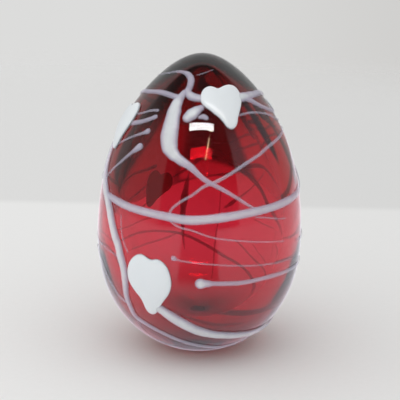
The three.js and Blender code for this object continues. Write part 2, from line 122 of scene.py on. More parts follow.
def feed(tree: Tree, node: Node, inputs: dict | Sequence) -> None:
    """Link or set inputs of a node.

    Args:
        tree: The node's tree.
        node: The node.
        inputs: What goes into each input, in order or by its index or name: a socket, a node (its first
            output in use) or a plain value.
    """
    labels = [socket.name if socket.enabled else "" for socket in node.inputs]
    given = inputs if isinstance(inputs, dict) else dict(enumerate(inputs))
    for key, value in given.items():
        socket = node.inputs[key if isinstance(key, int) else labels.index(key)]
        if isinstance(value, Node):
            value = next(output for output in value.outputs if output.enabled)
        if isinstance(value, bpy.types.NodeSocket):
            tree.links.new(value, socket)
        else:
            socket.default_value = value


def add_node(tree: Tree, kind: str | Sum | Blend, inputs: dict | Sequence = (), **settings) -> Node:
    """Add a node to a tree, with its settings and its links.

    Args:
        tree: The tree that the node joins.
        kind: Blender's name for the kind of node, or the sum or blend that the node does.
        inputs: What goes into its inputs, as for feed, and for a blend its three inputs in order.
        **settings: The node's own options.

    Returns:
        The new node.
    """
    if isinstance(kind, Sum):
        kind, settings = MATH, settings | {"operation": kind.name}
    elif isinstance(kind, Blend):
        kind, option, value, places = kind.value
        inputs, settings = dict(zip(places, inputs)), settings | {option: value}
    node = tree.nodes.new(kind)
    for option, value in settings.items():
        setattr(node, option, value)
    feed(tree, node, inputs)
    return node


def open_tree(name: str, inputs: dict[str, Socket], outputs: dict[str, Socket]) -> tuple[Tree, Given, Node]:
    """Start a Geometry Nodes tree with named inputs and outputs.

    Args:
        name: The tree's name.
        inputs: The name and kind of each input, in order.
        outputs: The name and kind of each output, in order.

    Returns:
        The tree, the outputs of its group input by name, and its group output node.
    """
    tree = bpy.data.node_groups.new(name, "GeometryNodeTree")
    for way, sockets in (("INPUT", inputs), ("OUTPUT", outputs)):
        for label, kind in sockets.items():
            tree.interface.new_socket(label, in_out=way, socket_type=kind.value)
    given = add_node(tree, "NodeGroupInput")
    return tree, given.outputs, add_node(tree, "NodeGroupOutput")


def grow(name: str, seed: bpy.types.ID | None, tree: Tree, sizes: dict) -> bpy.types.Object:
    """Run a Geometry Nodes tree and keep what it makes as a plain mesh object.

    Args:
        name: The new object's name.
        seed: The curve or mesh that the tree starts from, or None for an empty mesh.
        tree: The tree to run.
        sizes: The tree's inputs, by name, and others that it doesn't take.

    Returns:
        A mesh object at the origin, without modifiers.
    """
    source = bpy.data.objects.new(name + "_seed", seed or bpy.data.meshes.new(name + "_seed"))
    bpy.context.scene.collection.objects.link(source)
    modifier = source.modifiers.new(tree.name, "NODES")
    modifier.node_group = tree
    for item in tree.interface.items_tree:
        if item.in_out == "INPUT" and item.name in sizes:
            modifier[item.identifier] = sizes[item.name]
    evaluated = source.evaluated_get(bpy.context.evaluated_depsgraph_get())
    mesh = bpy.data.meshes.new_from_object(evaluated)
    mesh.name = name
    source.modifiers.remove(modifier)
    bpy.data.objects.remove(source)
    return stand(name, mesh)


def by_label(piece: object) -> dict:
    """Give the size fields of a piece the names that its tree's inputs have."""
    return {field.name.replace("_", " ").title(): getattr(piece, field.name) for field in fields(piece)}


def stand(name: str, data: bpy.types.ID) -> bpy.types.Object:
    """Put a mesh, a lamp or a camera into the scene as an object at the origin.

    Args:
        name: The object's name.
        data: What it holds.

    Returns:
        The object.
    """
    made = bpy.data.objects.new(name, data)
    bpy.context.scene.collection.objects.link(made)
    return made


def hand_over(piece: bpy.types.Object) -> None:
    """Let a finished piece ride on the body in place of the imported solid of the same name.

    Args:
        piece: The piece, named for the solid that it stands for with "_glass" after it.
    """
    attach(piece, BODY)
    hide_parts(piece.name.removesuffix("_glass"))
    LOG.info("%s: %d faces", piece.name, len(piece.data.polygons))


def egg_skin_tree() -> Tree:
    """Build the tree that shapes a round ball into an egg with a flat foot.

    The lower part is a spheroid, a little fuller at its flanks, and the upper part narrows towards the tip.
    The ball's own latitude sets the height, and what would reach below the foot is pressed flat.

    Returns:
        The tree. Its mesh carries the direction out of the skin in the attribute "out".
    """
    sizes = ("Radius", "Widest Height", "Lower Reach", "Upper Reach", "Taper", "Sharpness", "Fullness")
    sizes = (*sizes, "Foot Height", "Foot Edge", "Ripple", "Ripple Length")
    inputs = {label: Socket.NUMBER for label in sizes} | {"Segments": Socket.COUNT, "Rings": Socket.COUNT}
    tree, given, result = open_tree("egg skin", inputs, {"Skin": Socket.SHAPE})
    add = partial(add_node, tree)
    counts = {"Segments": given["Segments"], "Rings": given["Rings"], "Radius": 1.0}
    ball = add("GeometryNodeMeshUVSphere", counts)
    place = add("GeometryNodeInputPosition")
    across, deep, up = add(PARTS, (place,)).outputs
    above = add(Sum.GREATER_THAN, (up, 0.0))
    reach = add(Blend.NUMBER, (above, given["Lower Reach"], given["Upper Reach"]))
    height = add(Sum.MULTIPLY_ADD, (up, reach, given["Widest Height"]))
    footed = add(Sum.SMOOTH_MAX, (height, given["Foot Height"], given["Foot Edge"]))
    upper = add(Sum.MAXIMUM, (up, 0.0))
    steep = add(Sum.POWER, (upper, given["Sharpness"]))
    lost = add(Sum.MULTIPLY, (steep, given["Taper"]))
    kept = add(Sum.SUBTRACT, (1.0, lost))
    lower = add(Sum.MINIMUM, (up, 0.0))
    square = add(Sum.POWER, (lower, 2.0))
    inward = add(Sum.SUBTRACT, (1.0, square))
    flank = add(Sum.MULTIPLY, (square, inward))
    # The flank is a quarter at its greatest, so that the fullness is the most that it adds.
    most = add(Sum.MULTIPLY, (given["Fullness"], 4.0))
    fuller = add(Sum.MULTIPLY_ADD, (flank, most, kept))
    pitch = add(Sum.DIVIDE, (1.0, given["Ripple Length"]))
    noise = add(NOISE, {"Vector": place, "Scale": pitch, "Detail": 1.0})
    swing = add(Sum.SUBTRACT, (noise, 0.5))
    width = add(Sum.MULTIPLY_ADD, (swing, given["Ripple"], given["Radius"]))
    scale = add(Sum.MULTIPLY, (width, fuller))
    x, y = (add(Sum.MULTIPLY, (part, scale)) for part in (across, deep))
    shaped = add("ShaderNodeCombineXYZ", (x, y, footed))
    egg = add("GeometryNodeSetPosition", {"Geometry": ball.outputs["Mesh"], "Position": shaped})
    smooth = add("GeometryNodeSetShadeSmooth", {"Geometry": egg})
    out = {"Geometry": smooth, "Name": "out", "Value": add("GeometryNodeInputNormal")}
    stored = add("GeometryNodeStoreNamedAttribute", out, data_type="FLOAT_VECTOR", domain="POINT")
    feed(tree, result, (stored,))
    return tree


def glass_wall_tree(skin: Tree) -> Tree:
    """Build the tree that makes a wall of glass from two egg skins, the inner one turned inside out.

    Args:
        skin: The tree of one egg skin.

    Returns:
        The tree. It takes each skin's sizes with "Outer" or "Inner" before their names.
    """
    labels = {item.name: item.socket_type for item in skin.interface.items_tree if item.in_out == "INPUT"}
    inputs = {f"{side} {label}": Socket(labels[label]) for side in SIDES for label in labels}
    tree, given, result = open_tree("glass wall", inputs | {"Glass": Socket.MATERIAL}, {"Wall": Socket.SHAPE})
    add = partial(add_node, tree)
    outer, inner = (
        add("GeometryNodeGroup", {label: given[f"{side} {label}"] for label in labels}, node_tree=skin)
        for side in SIDES
    )
    turned = add("GeometryNodeFlipFaces", {"Mesh": inner})
    both = add("GeometryNodeJoinGeometry", (outer,))
    feed(tree, both, (turned,))
    end_tree(tree, both, given["Glass"], result)
    return tree


def end_tree(tree: Tree, shape: Node, glass: bpy.types.NodeSocket, result: Node) -> None:
    """End a tree: what it made becomes real and gets its material.

    Args:
        tree: The tree to end.
        shape: The node that gives the shape.
        glass: The material.
        result: The tree's group output.
    """
    real = add_node(tree, "GeometryNodeRealizeInstances", (shape,))
    dressed = add_node(tree, "GeometryNodeSetMaterial", {"Geometry": real, "Material": glass})
    feed(tree, result, (dressed,))


def seat_tree() -> Tree:
    """Build the tree that seats a place on the egg's skin and lifts it straight out.

    Returns:
        The tree. It gives the seated place and the direction out of the skin there.
    """
    inputs = {"Skin": Socket.OBJECT, "Place": Socket.PLACE, "Lift": Socket.NUMBER}
    tree, given, result = open_tree("seat on skin", inputs, {"Seat": Socket.PLACE, "Out": Socket.PLACE})
    add = partial(add_node, tree)
    shape = add("GeometryNodeObjectInfo", {"Object": given["Skin"]}).outputs["Geometry"]
    sample = {"Geometry": shape, "Sample Position": given["Place"]}
    nearest = add("GeometryNodeProximity", sample, target_element="FACES")
    out = add("GeometryNodeInputNamedAttribute", {"Name": "out"}, data_type="FLOAT_VECTOR")
    sample = {"Mesh": shape, "Value": out, "Sample Position": given["Place"]}
    there = add("GeometryNodeSampleNearestSurface", sample, data_type="FLOAT_VECTOR")
    away = add(VECTOR_MATH, (there,), operation="NORMALIZE")
    lift = add(VECTOR_MATH, {0: away, "Scale": given["Lift"]}, operation="SCALE")
    seat = add(VECTOR_MATH, (nearest.outputs["Position"], lift), operation="ADD")
    feed(tree, result, {"Seat": seat, "Out": away})
    return tree


def end_cover(tree: Tree, given: Given, result: Node, sheet: Node, seat: Tree, laid: dict) -> None:
    """End a tree that winds a sheet of points into a closed piece of opal glass on the skin.

    Args:
        tree: The tree to end.
        given: The tree's inputs.
        result: The tree's group output.
        sheet: The sheet of points.
        seat: The tree that seats a place on the skin.
        laid: Where each point goes before it is seated, how far it is lifted, and how thick the glass is
            there in metres, as "place", "lift" and "depth".
    """
    add = partial(add_node, tree)
    seats = {"Skin": given["Skin"], "Place": laid["place"], "Lift": laid["lift"]}
    seated = add("GeometryNodeGroup", seats, node_tree=seat)
    shape = {"Geometry": sheet.outputs["Mesh"], "Position": seated.outputs["Seat"]}
    moved = add("GeometryNodeSetPosition", shape)
    thickness = add(Sum.DIVIDE, (laid["depth"], MM))
    cover = {"Geometry": moved, "Name": "cover", "Value": thickness}
    stored = add("GeometryNodeStoreNamedAttribute", cover, data_type="FLOAT", domain="POINT")
    merged = add("GeometryNodeMergeByDistance", {"Geometry": stored, "Distance": WELD})
    smooth = add("GeometryNodeSetShadeSmooth", {"Geometry": merged})
    end_tree(tree, smooth, given["Glass"], result)


def laid_trail_tree(seat: Tree) -> Tree:
    """Build the tree that lays a trail of hot glass along a curve on the skin.

    A sheet of points is wound round the curve: one side runs along it, with the rings closer together at
    both ends, which are round, and the other side runs round the trail's section. The section is a low dome
    above the skin and a shallow bowl sunk into it. The curve's radius is half the trail's width.

    Args:
        seat: The tree that seats a place on the skin.

    Returns:
        The tree. Its mesh carries the thickness of the glass, in millimetres, in the attribute "cover".
    """
    sizes = ("Step", "Rise Share", "Least Rise", "Most Rise", "Sunk", "Waver", "Waver Length")
    inputs = {"Route": Socket.SHAPE, "Skin": Socket.OBJECT} | {label: Socket.NUMBER for label in sizes}
    inputs |= {"Cap Rings": Socket.COUNT, "Around": Socket.COUNT, "Glass": Socket.MATERIAL}
    tree, given, result = open_tree("laid trail", inputs, {"Trail": Socket.SHAPE})
    add = partial(add_node, tree)
    route = {"Curves": given["Route"], "Value": add("GeometryNodeInputRadius")}
    length = add("GeometryNodeCurveLength", (given["Route"],))
    spans = add(Sum.DIVIDE, (length, given["Step"]))
    steps = add(Sum.CEIL, (spans,))
    last = add(Sum.MULTIPLY_ADD, (given["Cap Rings"], 2.0, steps))
    columns = add(Sum.ADD, (last, 1.0))
    rows = add(Sum.ADD, (given["Around"], 1.0))
    points = {"Size X": 1.0, "Size Y": 1.0, "Vertices X": columns, "Vertices Y": rows}
    sheet = add("GeometryNodeMeshGrid", points)
    along_share, round_share, _ = add(PARTS, (sheet.outputs["UV Map"],)).outputs
    ring = add(Sum.MULTIPLY, (along_share, last))
    to_go = add(Sum.SUBTRACT, (last, ring))
    halves, setbacks, sines = [], [], []
    for end, count in ((0.0, ring), (1.0, to_go)):
        half = add("GeometryNodeSampleCurve", route | {"Factor": end}, data_type="FLOAT", mode="FACTOR")
        cap_share = add(Sum.DIVIDE, (count, given["Cap Rings"]), use_clamp=True)
        turn = add(Sum.MULTIPLY, (cap_share, math.pi / 2))
        cosine = add(Sum.COSINE, (turn,))
        short = add(Sum.SUBTRACT, (1.0, cosine))
        halves.append(half)
        setbacks.append(add(Sum.MULTIPLY, (half, short)))
        sines.append(add(Sum.SINE, (turn,)))
    both = add(Sum.ADD, halves)
    body = add(Sum.SUBTRACT, (length, both))
    past_cap = add(Sum.SUBTRACT, (ring, given["Cap Rings"]))
    body_share = add(Sum.DIVIDE, (past_cap, steps), use_clamp=True)
    before = add(Sum.MULTIPLY_ADD, (body_share, body, setbacks[0]))
    along = add(Sum.ADD, (before, halves[1]))
    here = add(Sum.SUBTRACT, (along, setbacks[1]))
    roundness = add(Sum.MULTIPLY, sines)
    spot = add("GeometryNodeSampleCurve", route | {"Length": here}, data_type="FLOAT", mode="LENGTH")
    skin_place = {"Skin": given["Skin"], "Place": spot.outputs["Position"]}
    middle = add("GeometryNodeGroup", skin_place, node_tree=seat)
    across = add(VECTOR_MATH, (spot.outputs["Tangent"], middle.outputs["Out"]), operation="CROSS_PRODUCT")
    side = add(VECTOR_MATH, (across,), operation="NORMALIZE")
    pitch = add(Sum.DIVIDE, (1.0, given["Waver Length"]))
    noise = add(NOISE, {"Vector": spot.outputs["Position"], "Scale": pitch})
    swing = add(Sum.SUBTRACT, (noise, 0.5))
    waver = add(Sum.MULTIPLY_ADD, (swing, given["Waver"], 1.0))
    wavering = add(Sum.MULTIPLY, (spot.outputs["Value"], waver))
    half = add(Sum.MULTIPLY, (wavering, roundness))
    angle = add(Sum.MULTIPLY, (round_share, 2 * math.pi))
    cosine = add(Sum.COSINE, (angle,))
    sideways = add(Sum.MULTIPLY, (cosine, half))
    shift = add(VECTOR_MATH, {0: side, "Scale": sideways}, operation="SCALE")
    place = add(VECTOR_MATH, (middle.outputs["Seat"], shift), operation="ADD")
    width = add(Sum.MULTIPLY, (spot.outputs["Value"], 2.0))
    full = add(Sum.MULTIPLY, (width, given["Rise Share"]))
    at_least = add(Sum.MAXIMUM, (full, given["Least Rise"]))
    rise = add(Sum.MINIMUM, (at_least, given["Most Rise"]))
    lobe = add(Sum.SINE, (angle,))
    raised = add(Sum.MAXIMUM, (lobe, 0.0))
    lowered = add(Sum.MINIMUM, (lobe, 0.0))
    up = add(Sum.MULTIPLY, (raised, rise))
    section = add(Sum.MULTIPLY_ADD, (lowered, given["Sunk"], up))
    lift = add(Sum.MULTIPLY, (section, roundness))
    size = add(Sum.ABSOLUTE, (lobe,))
    tall = add(Sum.ADD, (rise, given["Sunk"]))
    deep = add(Sum.MULTIPLY, (tall, size))
    depth = add(Sum.MULTIPLY, (deep, roundness))
    end_cover(tree, given, result, sheet, seat, {"place": place, "lift": lift, "depth": depth})
    return tree


def pressed_heart_tree(seat: Tree) -> Tree:
    """Build the tree that presses a gob of hot glass on the skin into the outline of a closed curve.

    One side of a sheet of points runs round the outline, and the other runs from the middle underneath,
    round the edge, to the middle on top.

    Args:
        seat: The tree that seats a place on the skin.

    Returns:
        The tree. Its mesh carries the thickness of the glass, in millimetres, in the attribute "cover".
    """
    inputs = {"Outline": Socket.SHAPE, "Skin": Socket.OBJECT, "Middle": Socket.PLACE}
    inputs |= {label: Socket.NUMBER for label in ("Rise", "Sunk", "Squareness")}
    inputs |= {"Steps": Socket.COUNT, "Rings": Socket.COUNT, "Glass": Socket.MATERIAL}
    tree, given, result = open_tree("pressed heart", inputs, {"Heart": Socket.SHAPE})
    add = partial(add_node, tree)
    columns = add(Sum.ADD, (given["Steps"], 1.0))
    points = {"Size X": 1.0, "Size Y": 1.0, "Vertices X": columns, "Vertices Y": given["Rings"]}
    sheet = add("GeometryNodeMeshGrid", points)
    round_share, up_share, _ = add(PARTS, (sheet.outputs["UV Map"],)).outputs
    sample = {"Curves": given["Outline"], "Factor": round_share}
    spot = add("GeometryNodeSampleCurve", sample, data_type="FLOAT", mode="FACTOR")
    off_middle = add(Sum.SUBTRACT, (up_share, 0.5))
    angle = add(Sum.MULTIPLY, (off_middle, math.pi))
    level = add(Sum.SINE, (angle,))
    cosine = add(Sum.COSINE, (angle,))
    outward = add(Sum.MAXIMUM, (cosine, 0.0))
    spread = add(Sum.POWER, (outward, given["Squareness"]))
    arm = add(VECTOR_MATH, (spot.outputs["Position"], given["Middle"]), operation="SUBTRACT")
    reach = add(VECTOR_MATH, {0: arm, "Scale": spread}, operation="SCALE")
    place = add(VECTOR_MATH, (given["Middle"], reach), operation="ADD")
    raised = add(Sum.MAXIMUM, (level, 0.0))
    lowered = add(Sum.MINIMUM, (level, 0.0))
    top = add(Sum.POWER, (raised, given["Squareness"]))
    rise = add(Sum.MULTIPLY, (top, given["Rise"]))
    lift = add(Sum.MULTIPLY_ADD, (lowered, given["Sunk"], rise))
    size = add(Sum.ABSOLUTE, (level,))
    tall = add(Sum.ADD, (given["Rise"], given["Sunk"]))
    depth = add(Sum.MULTIPLY, (tall, size))
    end_cover(tree, given, result, sheet, seat, {"place": place, "lift": lift, "depth": depth})
    return tree


def open_material(name: str) -> tuple[bpy.types.Material, bpy.types.NodeSocket]:
    """Start a material made of nodes.

    Args:
        name: Its name.

    Returns:
        The material, and the place on the object as a socket of its tree.
    """
    made = bpy.data.materials.new(name)
    made.use_nodes = True
    return made, add_node(made.node_tree, "ShaderNodeTexCoord").outputs["Object"]


def mottle(tree: Tree, pattern: dict, first: str, second: str) -> Node:
    """Blend two colours by a pattern of noise.

    Args:
        tree: The material's tree.
        pattern: The inputs of the noise.
        first: The hex colour where the noise is low.
        second: The hex colour where it is high.

    Returns:
        The node that gives the colour.
    """
    noise = add_node(tree, NOISE, pattern)
    return add_node(tree, Blend.COLOUR, (noise, linear(first), linear(second)))


def let_light_pass(
    tree: Tree, tint: Node, bend: float, passed: Colour | None = None, strength: float = 0.0
) -> None:
    """Make a material's shader clear, smooth glass.

    Args:
        tree: The material's tree.
        tint: What gives the colour of its surface.
        bend: Its index of refraction, or 1 for glass fused inside other glass.
        passed: The colour that passes through its depth, or None where all of it does.
        strength: How strongly the depth holds back the rest.
    """
    finish = {"Base Color": tint, "Transmission Weight": 1.0, "IOR": bend, "Roughness": 0.0}
    feed(tree, tree.nodes["Principled BSDF"], finish)
    if passed:
        absorb = add_node(tree, "ShaderNodeVolumeAbsorption", {"Color": passed, "Density": strength})
        feed(tree, tree.nodes["Material Output"], {"Volume": absorb})


@dataclass(frozen=True)
class ClearCrystal:
    """Lead crystal, colourless and fire-polished.

    To the eye it is bright at grazing angles, sharp in its reflections and a little grey where it is thick.
    """

    pale: str = "#F9FAF9"
    cord: str = "#F0F3F2"
    cord_length: float = 18 * MM
    bend: float = 1.5

    def material(self) -> bpy.types.Material:
        """Make the crystal, with faint cords where the gather was folded."""
        made, place = open_material("fire-polished clear crystal")
        cords = {"Vector": place, "Scale": 1 / self.cord_length, "Detail": 2.0, "Distortion": 1.5}
        let_light_pass(made.node_tree, mottle(made.node_tree, cords, self.pale, self.cord), self.bend)
        return made


@dataclass(frozen=True)
class RubyGlass:
    """Transparent ruby glass, coloured in the melt.

    To the eye it is clear and saturated: a thin wall glows red, and a wall seen edge on goes dark. It is
    deeper towards the tip, and there painted shade tints it darker and greyer. It is fused to the crystal, so
    that no light bends between them.
    """

    wall: str = "#FFC9DA"
    streak: str = "#FFBCD2"
    streak_length: float = 30 * MM
    streak_stretch: float = 0.35
    # painted shade: the ruby's colour turns to this darker, greyer tint towards the tip
    crown: str = "#C6A6B4"
    crown_from: float = 84 * MM
    crown_to: float = 108 * MM
    passed: Colour = (0.93, 0.22, 0.33, 1.0)
    strength: float = 850.0

    def material(self) -> bpy.types.Material:
        """Make the ruby, with slow streaks from the blowing and painted shade darker towards the tip."""
        made, place = open_material("ruby glass fused in crystal")
        tree = made.node_tree
        add = partial(add_node, tree)
        stretch = {"Vector": place, "Scale": Vector((1.0, 1.0, self.streak_stretch))}
        stretched = add("ShaderNodeMapping", stretch)
        streaks = {"Vector": stretched, "Scale": 1 / self.streak_length, "Detail": 3.0}
        streaked = mottle(tree, streaks, self.wall, self.streak)
        height = add(PARTS, (place,)).outputs["Z"]
        # painted shade: darker and greyer towards the tip
        painted_tip_shade = add(Blend.EASE, (height, self.crown_from, self.crown_to))
        tint = add(Blend.COLOUR, (painted_tip_shade, streaked, linear(self.crown)))
        let_light_pass(tree, tint, 1.0, self.passed, self.strength)
        return made


@dataclass(frozen=True)
class OpalGlass:
    """White opal glass, milky from fine crystals in it and smooth from the flame.

    To the eye it is a soft, dense white where it is thick, and it turns bluish and lets the colour beneath
    through where it was drawn out thin.
    """

    name: str
    milk: float
    thick: str = "#DCE1E4"
    thin: str = "#C3BFD3"
    half_cover: float = 0.85 * MM
    full_cover: float = 1.45 * MM
    softness: float = 1.5
    cloud_length: float = 3 * MM
    cloudiness: float = 0.12
    gloss: float = 0.3

    def material(self) -> bpy.types.Material:
        """Make the opal, whose colour and cover follow the thickness of the glass in millimetres."""
        made, place = open_material(self.name)
        tree = made.node_tree
        add = partial(add_node, tree)
        cover = add("ShaderNodeAttribute", attribute_name="cover").outputs["Fac"]
        clouds = add(NOISE, {"Vector": place, "Scale": 1 / self.cloud_length, "Detail": 2.0})
        swing = add(Sum.SUBTRACT, (clouds, 0.5))
        swell = add(Sum.MULTIPLY_ADD, (swing, 2 * self.cloudiness, 1.0))
        depth = add(Sum.MULTIPLY, (cover, swell))
        whiteness = add(Blend.EASE, (depth, self.half_cover / MM, self.full_cover / MM))
        tint = add(Blend.COLOUR, (whiteness, linear(self.thin), linear(self.thick)))
        dense = add(Sum.MULTIPLY, (depth, self.milk))
        curved = add(Sum.POWER, (dense, self.softness))
        faded = add(Sum.MULTIPLY, (curved, -1.0))
        left = add(Sum.EXPONENT, (faded,))
        hidden = add(Sum.SUBTRACT, (1.0, left))
        finish = {"Base Color": tint, "Alpha": hidden, "Roughness": self.gloss}
        feed(tree, tree.nodes["Principled BSDF"], finish)
        return made


@dataclass(frozen=True)
class SealGlass:
    """The dab of crystal that closes the blow hole, grey with tool marks.

    To the eye it is a darker, cloudy spot in the middle of the foot.
    """

    clear: str = "#E4E8E8"
    smoke: str = "#C2C7C8"
    mark_length: float = 2.5 * MM
    passed: Colour = (0.55, 0.56, 0.56, 1.0)
    strength: float = 260.0

    def material(self) -> bpy.types.Material:
        """Make the seal's glass, with smoky swirls."""
        made, place = open_material("tooled crystal seal")
        marks = {"Vector": place, "Scale": 1 / self.mark_length, "Distortion": 2.0}
        tint = mottle(made.node_tree, marks, self.clear, self.smoke)
        let_light_pass(made.node_tree, tint, 1.0, self.passed, self.strength)
        return made


@dataclass(frozen=True)
class EggSkin:
    """One egg-shaped skin of the blown glass, in metres, round the upright axis."""

    radius: float
    foot_height: float
    upper_reach: float
    widest_height: float
    lower_reach: float
    taper: float
    sharpness: float
    ripple: float = 0.0
    fullness: float = 0.0
    foot_edge: float = 0.8 * MM
    ripple_length: float = 0.45
    segments: int = 224
    rings: int = 132

    def place(self, azimuth: float, latitude: float) -> Vector:
        """Find a place on the skin.

        Args:
            azimuth: Degrees round the axis, from the front towards +X.
            latitude: Degrees above the widest ring, as on the ball that the egg is shaped from.

        Returns:
            The place.
        """
        angle, rise = math.radians(azimuth), math.sin(math.radians(latitude))
        lower = min(0.0, rise) ** 2
        shape = 1 - self.taper * max(0.0, rise) ** self.sharpness + 4 * self.fullness * lower * (1 - lower)
        radius = self.radius * math.cos(math.radians(latitude)) * shape
        height = self.widest_height + rise * (self.lower_reach if rise < 0 else self.upper_reach)
        return Vector((radius * math.sin(angle), -radius * math.cos(angle), height))

    def sizes(self, side: str = "") -> dict[str, float | int]:
        """List the skin's sizes as inputs of its tree, with the side of a wall before their names."""
        return {side + label: value for label, value in by_label(self).items()}


@dataclass
class BlownEgg:
    """The egg's own three layers: the crystal casing, the ruby bubble in it and the seal in the foot."""

    foot_radius: float = 10.2 * MM
    radius: float = 41.2 * MM
    height: float = 120 * MM
    widest: float = 46.5 * MM
    taper: float = 0.215
    sharpness: float = 4.2
    fullness: float = 0.022
    ripple: float = 0.25 * MM
    inner_widest: float = 48 * MM
    inner_sharpness: float = 2.5
    hollow_radius: float = 34 * MM
    hollow_floor: float = 10 * MM
    hollow_crown: float = 112 * MM
    hollow_taper: float = 0.52
    ruby_radius: float = 35.8 * MM
    ruby_floor: float = 7.5 * MM
    ruby_crown: float = 116.5 * MM
    ruby_taper: float = 0.4
    fused_gap: float = 0.05 * MM
    seal_radius: float = 4.2 * MM
    seal_floor: float = 0.65 * MM
    seal_crown: float = 7.4 * MM
    seal_squareness: float = 0.5
    seal_rings: int = 24
    seal_around: int = 48
    crystal: ClearCrystal = ClearCrystal()
    ruby: RubyGlass = RubyGlass()
    seal: SealGlass = SealGlass()

    def outer_skin(self) -> EggSkin:
        """Give the skin that the casing shows, cut flat at the foot."""
        reach = self.widest / math.sqrt(1 - (self.foot_radius / self.radius) ** 2)
        heights = (0.0, self.height - self.widest, self.widest, reach)
        return EggSkin(self.radius, *heights, self.taper, self.sharpness, self.ripple, self.fullness)

    def inner_skin(self, radius: float, floor: float, crown: float, taper: float) -> EggSkin:
        """Give a skin inside the casing, round at its floor.

        Args:
            radius: Its greatest radius.
            floor: The height of its lowest point.
            crown: The height of its tip.
            taper: How much it narrows towards the tip.

        Returns:
            The skin.
        """
        heights = (floor, crown - self.inner_widest, self.inner_widest, self.inner_widest - floor)
        return EggSkin(radius, *heights, taper, self.inner_sharpness, self.ripple)

    def hollow_skin(self, outset: float = 0.0) -> EggSkin:
        """Give the skin of the sealed pocket of air, or one that lies evenly outside it.

        Args:
            outset: How far outside it lies.

        Returns:
            The skin.
        """
        floor, crown = self.hollow_floor - outset, self.hollow_crown + outset
        return self.inner_skin(self.hollow_radius + outset, floor, crown, self.hollow_taper)

    def ruby_skin(self) -> EggSkin:
        """Give the ruby bubble's outer skin."""
        return self.inner_skin(self.ruby_radius, self.ruby_floor, self.ruby_crown, self.ruby_taper)

    def build_layers(self, wall: Tree) -> list[bpy.types.Object]:
        """Build and dress the casing and the ruby bubble.

        Args:
            wall: The tree that makes a wall of glass from two skins.

        Returns:
            The two pieces.
        """
        layers = (
            ("clear_casing_glass", self.outer_skin(), self.hollow_skin(), self.crystal),
            ("ruby_bubble_glass", self.ruby_skin(), self.hollow_skin(self.fused_gap), self.ruby),
        )
        pieces = []
        for name, outer, inner, finish in layers:
            sizes = outer.sizes("Outer ") | inner.sizes("Inner ") | {"Glass": finish.material()}
            pieces.append(grow(name, None, wall, sizes))
        return pieces

    def build_seal(self) -> bpy.types.Object:
        """Build and dress the round dab of glass in the foot, with a domed top.

        Returns:
            The piece.
        """
        around, tall = self.seal_around, self.seal_crown - self.seal_floor
        verts = []
        for ring in range(1, self.seal_rings):
            rise = math.pi * ring / self.seal_rings
            radius = self.seal_radius * math.sin(rise) ** self.seal_squareness
            height = self.seal_floor + (1 - math.cos(rise)) / 2 * tall
            turns = [2 * math.pi * j / around for j in range(around)]
            verts += [(radius * math.cos(turn), radius * math.sin(turn), height) for turn in turns]
        faces = [
            (i + j, i + (j + 1) % around, i + around + (j + 1) % around, i + around + j)
            for i in range(0, len(verts) - around, around)
            for j in range(around)
        ]
        bottom, top, last = len(verts), len(verts) + 1, len(verts) - around
        verts += [(0, 0, self.seal_floor), (0, 0, self.seal_crown)]
        faces += [(bottom, (j + 1) % around, j) for j in range(around)]
        faces += [(top, last + j, last + (j + 1) % around) for j in range(around)]
        mesh = bpy.data.meshes.new("base_seal_glass")
        mesh.from_pydata(verts, [], faces)
        mesh.shade_smooth()
        mesh.materials.append(self.seal.material())
        return stand("base_seal_glass", mesh)


def spline_through(stops: Sequence[Vector], steps: int) -> list[tuple[int, float, Vector]]:
    """Run a centripetal Catmull-Rom curve through some places.

    Args:
        stops: The places, at least two.
        steps: How many steps each span gets.

    Returns:
        For each step: its span, its share of that span, and its place.
    """
    ends = [2 * stops[0] - stops[1], *stops, 2 * stops[-1] - stops[-2]]
    found = []
    for span in range(len(stops) - 1):
        a, b, c, d = ends[span : span + 4]
        t0, t1, t2 = (max((q - p).length, LEAST_SPAN) ** 0.5 for p, q in ((a, b), (b, c), (c, d)))
        leave = ((b - a) / t0 - (c - a) / (t0 + t1) + (c - b) / t1) * t1
        arrive = ((c - b) / t1 - (d - b) / (t1 + t2) + (d - c) / t2) * t1
        for step in range(steps + (span == len(stops) - 2)):
            t = step / steps
            place = b + leave * t + (3 * (c - b) - 2 * leave - arrive) * t**2
            place += (2 * (b - c) + leave + arrive) * t**3
            found.append((span, t, place))
    return found


def poly_curve(name: str, places: Sequence[Vector], halves: Sequence[float], closed: bool) -> bpy.types.Curve:
    """Make a curve of straight spans.

    Args:
        name: The curve's name.
        places: Its points.
        halves: The radius at each point.
        closed: Whether its ends join.

    Returns:
        The curve.
    """
    curve = bpy.data.curves.new(name, "CURVE")
    curve.dimensions = "3D"
    spline = curve.splines.new("POLY")
    spline.points.add(len(places) - 1)
    spline.use_cyclic_u = closed
    for point, place, half in zip(spline.points, places, halves):
        point.co = (*place, 1.0)
        point.radius = half
    return curve


@dataclass(frozen=True)
class Trail:
    """One trail of opal glass, laid along stops of azimuth, latitude and width in millimetres."""

    name: str
    stops: tuple[Stop, ...]
    curve_steps: int = 10
    step: float = 0.4 * MM
    rise_share: float = 0.26
    least_rise: float = 0.16 * MM
    most_rise: float = 1.2 * MM
    sunk: float = 0.25 * MM
    waver: float = 0.25
    waver_length: float = 7 * MM
    cap_rings: int = 5
    around: int = 16

    def route(self, egg: EggSkin) -> bpy.types.Curve:
        """Draw the trail's middle line, half its width longer at both ends.

        Args:
            egg: The skin's sizes, which give the stops their places.

        Returns:
            The curve, whose radius is half the trail's width.
        """
        stops = [egg.place(azimuth, latitude) for azimuth, latitude, _ in self.stops]
        places, halves = [], []
        for span, share, place in spline_through(stops, self.curve_steps):
            eased = share * share * (3 - 2 * share)
            width = self.stops[span][2] * (1 - eased) + self.stops[span + 1][2] * eased
            places.append(place)
            halves.append(width * MM / 2)
        places.insert(0, places[0] + (places[0] - places[1]).normalized() * halves[0])
        places.append(places[-1] + (places[-1] - places[-2]).normalized() * halves[-1])
        return poly_curve(self.name, places, [halves[0], *halves, halves[-1]], False)


